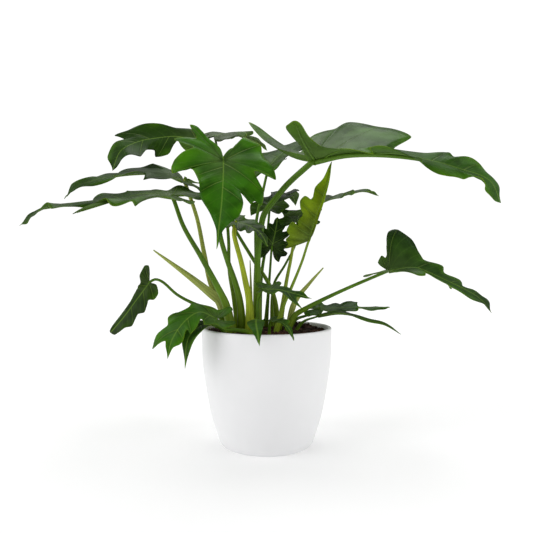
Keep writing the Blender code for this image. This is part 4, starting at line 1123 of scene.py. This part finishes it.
def make_spear(name, spear, settings, finish):
    """A spear that swells above its foot, tapers to a point and grows flatter on the way."""
    low, middle, tip = spear["radii"]
    route = rooted_route(spear["route"], settings.depth)
    shares = np.linspace(0.0, 1.0, settings.rings)
    points = np.array([smooth_point(route, share) for share in shares])
    rising = low + (middle - low) * shares / SPEAR_SWELL
    fall = np.clip((1 - shares) / (1.0 - SPEAR_SWELL), 0.0, 1.0) ** SPEAR_TAPER
    radii = np.where(shares < SPEAR_SWELL, rising, tip + (middle - tip) * fall)
    made = add_rod(f"sheath_{name}", points, radii, settings.sides, 1.0 - SPEAR_FLATTENING * shares)
    close_up(made)
    made.data.materials.append(finish)
    hand_over(made, "spear", name)


# Planter and soil

def pot_radius(height):
    """The planter's outer radius at a height, on a smooth curve through its profile above the foot."""
    foot = POT_PROFILE[1][0]
    share = max(0.0, (height / POT_HEIGHT - foot) / (1.0 - foot))
    point = smooth_point([(part, radius, 0.0) for part, radius in POT_PROFILE[1:]], share)
    return min(point.y, POT_RIM_RADIUS)


def pot_outline(settings):
    """The planter's section, from the middle of its underside round to the middle of its floor."""
    foot, lip, wall = settings.foot_rounding, settings.lip_rounding, settings.wall
    foot_radius = POT_PROFILE[0][1]
    lip_middle = POT_RIM_RADIUS - wall / 2
    shoulder = POT_HEIGHT - lip
    outline = [(0.0, 0.0), (foot_radius - foot, 0.0)]
    for step in range(1, FOOT_STEPS + 1):
        turn = math.radians(90) * step / FOOT_STEPS
        outline.append((foot_radius - foot + foot * math.sin(turn), foot * (1 - math.cos(turn))))
    outline += [(pot_radius(height), height) for height in np.linspace(2 * foot, shoulder, OUTER_RINGS)]
    for step in range(1, LIP_STEPS + 1):
        turn = math.radians(180) * step / LIP_STEPS
        outline.append((lip_middle + wall / 2 * math.cos(turn), shoulder + lip * math.sin(turn)))
    heights = np.linspace(shoulder, POT_FLOOR + POT_FLOOR_CORNER, INNER_RINGS)[1:]
    outline += [(pot_radius(height) - wall, height) for height in heights]
    outline += [(foot_radius - wall - POT_FLOOR_CORNER, POT_FLOOR), (0.0, POT_FLOOR)]
    return outline


def soil_outline(wall):
    """The soil's section, from the middle of its underside up the wall and in to the middle of its top."""
    heights = np.linspace(SOIL_WALL_FOOT, SOIL_TOP - SOIL_SHOULDER, SOIL_WALL_RINGS)
    radii = np.linspace(0.0, SOIL_RADIUS - SURFACE_EDGE, SOIL_RINGS)
    outline = [(0.0, SOIL_FLOOR), (pot_radius(SOIL_FLOOR) - wall, SOIL_FLOOR)]
    outline += [(pot_radius(height) - wall, height) for height in heights]
    outline += [(radius, SOIL_TOP) for radius in radii[::-1]]
    return outline


def add_turned(name, outline, sides):
    """A flat sheet, with each vertex's row and its place when the outline is turned round the Z axis."""
    turned, row, column = add_sheet(name, len(outline) - 1, sides)
    section = np.array(outline)[row]
    turn = column / sides * math.tau
    places = np.column_stack((section[:, 0] * np.cos(turn), section[:, 0] * np.sin(turn), section[:, 1]))
    return turned, row, places


def ground_height(x, y, settings):
    """The soil's height above its level, with its lumps and the mound at the back."""
    (middle_x, middle_y), (spread_x, spread_y) = MOUND_PLACE, MOUND_SPREAD
    mound = MOUND * math.exp(-(((x - middle_x) / spread_x) ** 2 + ((y - middle_y) / spread_y) ** 2))
    lumps = noise.fractal(Vector((x, y, 0.3)) * LUMP_FINENESS, 0.9, 2.2, 4) * settings.roughness
    crumbs = noise.noise(Vector((x, y, 1.7)) * CRUMB_FINENESS) * CRUMB_SHARE * settings.roughness
    return mound + lumps + crumbs


class PlanterSettings(bpy.types.PropertyGroup):
    colour: bpy.props.FloatVectorProperty(
        name="Colour", description="Colour of the planter's plastic", subtype="COLOR", size=3,
        default=(0.86, 0.86, 0.87), min=0.0, max=1.0)
    roughness: bpy.props.FloatProperty(
        name="Roughness", description="How matt the planter is", default=0.34, min=0.0, max=1.0,
        subtype="FACTOR")
    wall: bpy.props.FloatProperty(
        name="Wall", description="Thickness of the planter's wall", default=0.006, unit="LENGTH")
    lip_rounding: bpy.props.FloatProperty(
        name="Lip rounding", description="Height of the rounding on the rim", default=0.0022, unit="LENGTH")
    foot_rounding: bpy.props.FloatProperty(
        name="Foot rounding", description="Radius round the underside", default=0.0022, unit="LENGTH")
    sides: bpy.props.IntProperty(
        name="Sides", description="Faces round the planter", default=144, min=24)


class SoilSettings(bpy.types.PropertyGroup):
    roughness: bpy.props.FloatProperty(
        name="Lumpiness", description="Height of the lumps in the soil", default=0.0020, unit="LENGTH")
    crumb: bpy.props.FloatProperty(
        name="Crumb", description="Radius of a middling crumb", default=0.0021, unit="LENGTH")
    count: bpy.props.IntProperty(
        name="Crumbs", description="How many loose crumbs lie on the soil", default=900, min=1)
    seed: bpy.props.IntProperty(
        name="Seed", description="Which arrangement of crumbs", default=4)


class StalkSettings(bpy.types.PropertyGroup):
    rings: bpy.props.IntProperty(
        name="Rings", description="Rings along each stalk", default=44, min=8)
    sides: bpy.props.IntProperty(
        name="Sides", description="Faces round each stalk", default=16, min=6)
    depth: bpy.props.FloatProperty(
        name="Depth", description="How far a stalk reaches below the soil's level", default=0.006,
        unit="LENGTH")
    sheath: bpy.props.FloatProperty(
        name="Sheath", description="How much wider a stalk is at its foot", default=0.45, subtype="FACTOR")


class BladeSettings(bpy.types.PropertyGroup):
    step: bpy.props.FloatProperty(
        name="Step", description="Spacing of the faces along a margin", default=0.0032, unit="LENGTH")
    columns: bpy.props.IntProperty(
        name="Columns", description="Faces from the midrib to the margin", default=9, min=2)
    thickness: bpy.props.FloatProperty(
        name="Thickness", description="Thickness of a blade", default=0.0006, unit="LENGTH")


class StageSettings(bpy.types.PropertyGroup):
    colour: bpy.props.FloatVectorProperty(
        name="Colour", description="Colour of the floor", subtype="COLOR", size=3,
        default=(0.90, 0.90, 0.90), min=0.0, max=1.0)
    floor: bpy.props.FloatProperty(
        name="Floor", description="Side of the square floor", default=14.0, unit="LENGTH")
    glow: bpy.props.FloatProperty(
        name="Glow", description="Light from the floor itself", default=0.18, min=0.0)
    world: bpy.props.FloatProperty(
        name="Sky", description="Light from all round", default=0.30, min=0.0)
    backdrop: bpy.props.FloatProperty(
        name="Backdrop", description="How bright the surround looks behind the plant", default=1.05, min=0.0)
    left_light: bpy.props.FloatProperty(
        name="Left light", description="Strength of the light from the left", default=1.35, min=0.0)
    right_light: bpy.props.FloatProperty(
        name="Right light", description="Strength of the light from the right", default=1.05, min=0.0)
    top_light: bpy.props.FloatProperty(
        name="Top light", description="Strength of the light overhead", default=1.35, min=0.0)
    softness: bpy.props.FloatProperty(
        name="Softness", description="How wide each light is, seen from the plant", default=math.radians(50),
        subtype="ANGLE", unit="ROTATION")
    distance: bpy.props.FloatProperty(
        name="Camera distance", description="From the plant's axis to the camera", default=0.870,
        unit="LENGTH")
    height: bpy.props.FloatProperty(
        name="Camera height", description="Height of the camera's axis", default=0.296, unit="LENGTH")
    lens: bpy.props.FloatProperty(
        name="Lens", description="Focal length", default=34.5, unit="CAMERA", subtype="DISTANCE_CAMERA")


class PLANT_OT_planter(bpy.types.Operator):
    """Turns the round white planter with its rounded rim and foot"""
    bl_idname = "plant.planter"
    bl_label = "Planter"

    def execute(self, context):
        settings = context.scene.plant_planter
        planter, _, places = add_turned("planter", pot_outline(settings), settings.sides)
        move_vertices(planter, places)
        close_up(planter)
        planter.data.materials.append(
            pot_finish("satin_white_plastic", settings.colour, settings.roughness))
        hand_over(planter, "pot", "pot")
        return {"FINISHED"}


class PLANT_OT_soil(bpy.types.Operator):
    """Fills the planter with crumbly soil and strews loose crumbs on it"""
    bl_idname = "plant.soil"
    bl_label = "Soil"

    def execute(self, context):
        settings = context.scene.plant_soil
        finish = soil_finish("potting_soil")
        outline = soil_outline(context.scene.plant_planter.wall + SOIL_GAP)
        soil, row, places = add_turned("soil_bed", outline, SOIL_SIDES)
        top = row >= len(outline) - SOIL_RINGS
        places[top, 2] += [ground_height(x, y, settings) - SURFACE_DROP for x, y, _ in places[top]]
        move_vertices(soil, places)
        close_up(soil)
        soil.data.materials.append(finish)
        hand_over(soil, "soil", "soil")
        self.strew(settings, finish)
        return {"FINISHED"}

    def strew(self, settings, finish):
        """Copies one crumb all over the soil's surface, each copy with a shape of its own."""
        chance = random.Random(settings.seed)
        deselect()
        bpy.ops.mesh.primitive_ico_sphere_add(subdivisions=1, radius=1.0, location=(0, 0, 0))
        crumb = start_piece("soil_crumbs")
        shape = [Vector(vertex.co) for vertex in crumb.data.vertices]
        copies = [self.copy(crumb) for _ in range(settings.count - 1)]
        for piece in (crumb, *copies):
            self.shape_crumb(piece, shape, settings, chance)
        join(crumb, copies)
        crumb.data.materials.append(finish)
        hand_over(crumb, "soil")

    def copy(self, crumb):
        made = crumb.copy()
        made.data = crumb.data.copy()
        bpy.context.collection.objects.link(made)
        return made

    def shape_crumb(self, piece, shape, settings, chance):
        """Puts a crumb somewhere on the surface, drawn out one way and roughened."""
        radius = SOIL_RADIUS * STREWN_SHARE * math.sqrt(chance.random())
        turn = chance.uniform(0.0, math.tau)
        x, y = radius * math.cos(turn), radius * math.sin(turn)
        size = settings.crumb * chance.choice(CRUMB_SIZES)
        middle = Vector((x, y, SOIL_TOP + ground_height(x, y, settings) + size * CRUMB_RISE))
        length = chance.uniform(*CRUMB_LENGTHS)
        lean = Vector((chance.uniform(-1, 1), chance.uniform(-1, 1), chance.uniform(-0.4, 0.4)))
        lean.normalize()
        for vertex, direction in zip(piece.data.vertices, shape):
            stretched = direction + lean * direction.dot(lean) * (length - 1.0)
            vertex.co = middle + stretched * size * chance.uniform(*CRUMB_ROUGHNESS)


class PLANT_OT_stalks(bpy.types.Operator):
    """Grows every leaf's stalk out of the soil"""
    bl_idname = "plant.stalks"
    bl_label = "Stalks"

    def execute(self, context):
        finish = stalk_finish("stalk_green")
        for name, leaf in LEAVES.items():
            make_stalk(name, leaf, context.scene.plant_stalks, finish)
        return {"FINISHED"}


class PLANT_OT_blades(bpy.types.Operator):
    """Unfolds every leaf's blade, with its veins and the ribs beneath it"""
    bl_idname = "plant.blades"
    bl_label = "Blades"

    def execute(self, context):
        finishes = (blade_finish("leaf_upper_face", False), blade_finish("leaf_lower_face", True),
                    rib_finish("leaf_rib"))
        for name, leaf in LEAVES.items():
            make_blade(name, leaf, context.scene.plant_blades, finishes)
        return {"FINISHED"}


class PLANT_OT_spears(bpy.types.Operator):
    """Stands the pale sheaths and rolled leaves between the stalks"""
    bl_idname = "plant.spears"
    bl_label = "Spears"

    def execute(self, context):
        finish = spear_finish("dry_sheath")
        for name, spear in SPEARS.items():
            make_spear(name, spear, context.scene.plant_stalks, finish)
        return {"FINISHED"}


class PLANT_OT_stage(bpy.types.Operator):
    """Lays the plain floor, sets the soft lights and stands the camera"""
    bl_idname = "plant.stage"
    bl_label = "Stage"

    def execute(self, context):
        settings = context.scene.plant_stage
        deselect()
        bpy.ops.mesh.primitive_plane_add(size=settings.floor, location=(0.0, 0.0, 0.0))
        floor = start_piece("studio_floor")
        floor.data.materials.append(backdrop_finish("studio_sheet", settings.colour, settings.glow))
        context.scene.view_settings.view_transform = "Standard"
        self.surround(context, settings)
        self.light("left", (-1.5, -0.6, 0.8), settings.left_light, settings.softness)
        self.light("right", (1.5, -0.6, 0.8), settings.right_light, settings.softness)
        self.light("overhead", (0.0, 0.40, 1.0), settings.top_light, settings.softness)
        self.stand_camera(context, settings)
        return {"FINISHED"}

    def surround(self, context, settings):
        """A white surround that looks brighter than it lights, so that the leaves keep their depth."""
        world = bpy.data.worlds.new("studio")
        world.use_nodes = True
        tree = world.node_tree
        background = tree.nodes["Background"]
        background.inputs["Color"].default_value = (1.0, 1.0, 1.0, 1.0)
        seen = tree.nodes.new("ShaderNodeLightPath")
        strength = tree.nodes.new("ShaderNodeMapRange")
        strength.inputs["To Min"].default_value = settings.world
        strength.inputs["To Max"].default_value = settings.backdrop
        tree.links.new(seen.outputs["Is Camera Ray"], strength.inputs["Value"])
        tree.links.new(strength.outputs[0], background.inputs["Strength"])
        context.scene.world = world

    def light(self, name, place, strength, softness):
        """A broad soft light, even over the whole floor, that shines from a place towards the plant."""
        data = bpy.data.lights.new(f"light_{name}", "SUN")
        data.energy = strength
        data.angle = softness
        lamp = bpy.data.objects.new(f"light_{name}", data)
        lamp.location = place
        lamp.rotation_euler = (-Vector(place)).to_track_quat("-Z", "Y").to_euler()
        bpy.context.collection.objects.link(lamp)

    def stand_camera(self, context, settings):
        """A level camera in front of the plant, which looks along +Y."""
        data = bpy.data.cameras.new("view")
        data.lens = settings.lens
        data.sensor_width = 36.0
        camera = bpy.data.objects.new("view", data)
        camera.location = (0.0, -settings.distance, settings.height)
        camera.rotation_euler = (math.radians(90), 0.0, 0.0)
        bpy.context.collection.objects.link(camera)
        context.scene.camera = camera


# Each operator with the settings that it reads, in the order in which main calls them.
PIECES = (
    ("plant.stage", "plant_stage"),
    ("plant.planter", "plant_planter"),
    ("plant.soil", "plant_soil"),
    ("plant.stalks", "plant_stalks"),
    ("plant.blades", "plant_blades"),
    ("plant.spears", "plant_stalks"),
)
GROUPS = {
    "plant_planter": PlanterSettings,
    "plant_soil": SoilSettings,
    "plant_stalks": StalkSettings,
    "plant_blades": BladeSettings,
    "plant_stage": StageSettings,
}


class PLANT_PT_panel(bpy.types.Panel):
    """Lists the pieces of the plant and what can be changed about them"""
    bl_idname = "PLANT_PT_panel"
    bl_label = "Potted philodendron"
    bl_space_type = "VIEW_3D"
    bl_region_type = "UI"
    bl_category = "Plant"

    def draw(self, context):
        for operator, group in PIECES:
            box = self.layout.box()
            box.operator(operator)
            settings = getattr(context.scene, group)
            for key in settings.__annotations__:
                box.prop(settings, key)


CLASSES = (
    *GROUPS.values(), PLANT_OT_planter, PLANT_OT_soil, PLANT_OT_stalks, PLANT_OT_blades, PLANT_OT_spears,
    PLANT_OT_stage, PLANT_PT_panel,
)


def register():
    for made in CLASSES:
        bpy.utils.register_class(made)
    for name, group in GROUPS.items():
        setattr(bpy.types.Scene, name, bpy.props.PointerProperty(type=group))


def unregister():
    for name in GROUPS:
        delattr(bpy.types.Scene, name)
    for made in reversed(CLASSES):
        bpy.utils.unregister_class(made)


def main():
    register()
    for operator, _ in PIECES:
        family, name = operator.split(".")
        getattr(getattr(bpy.ops, family), name)()


if __name__ == "__main__":
    main()
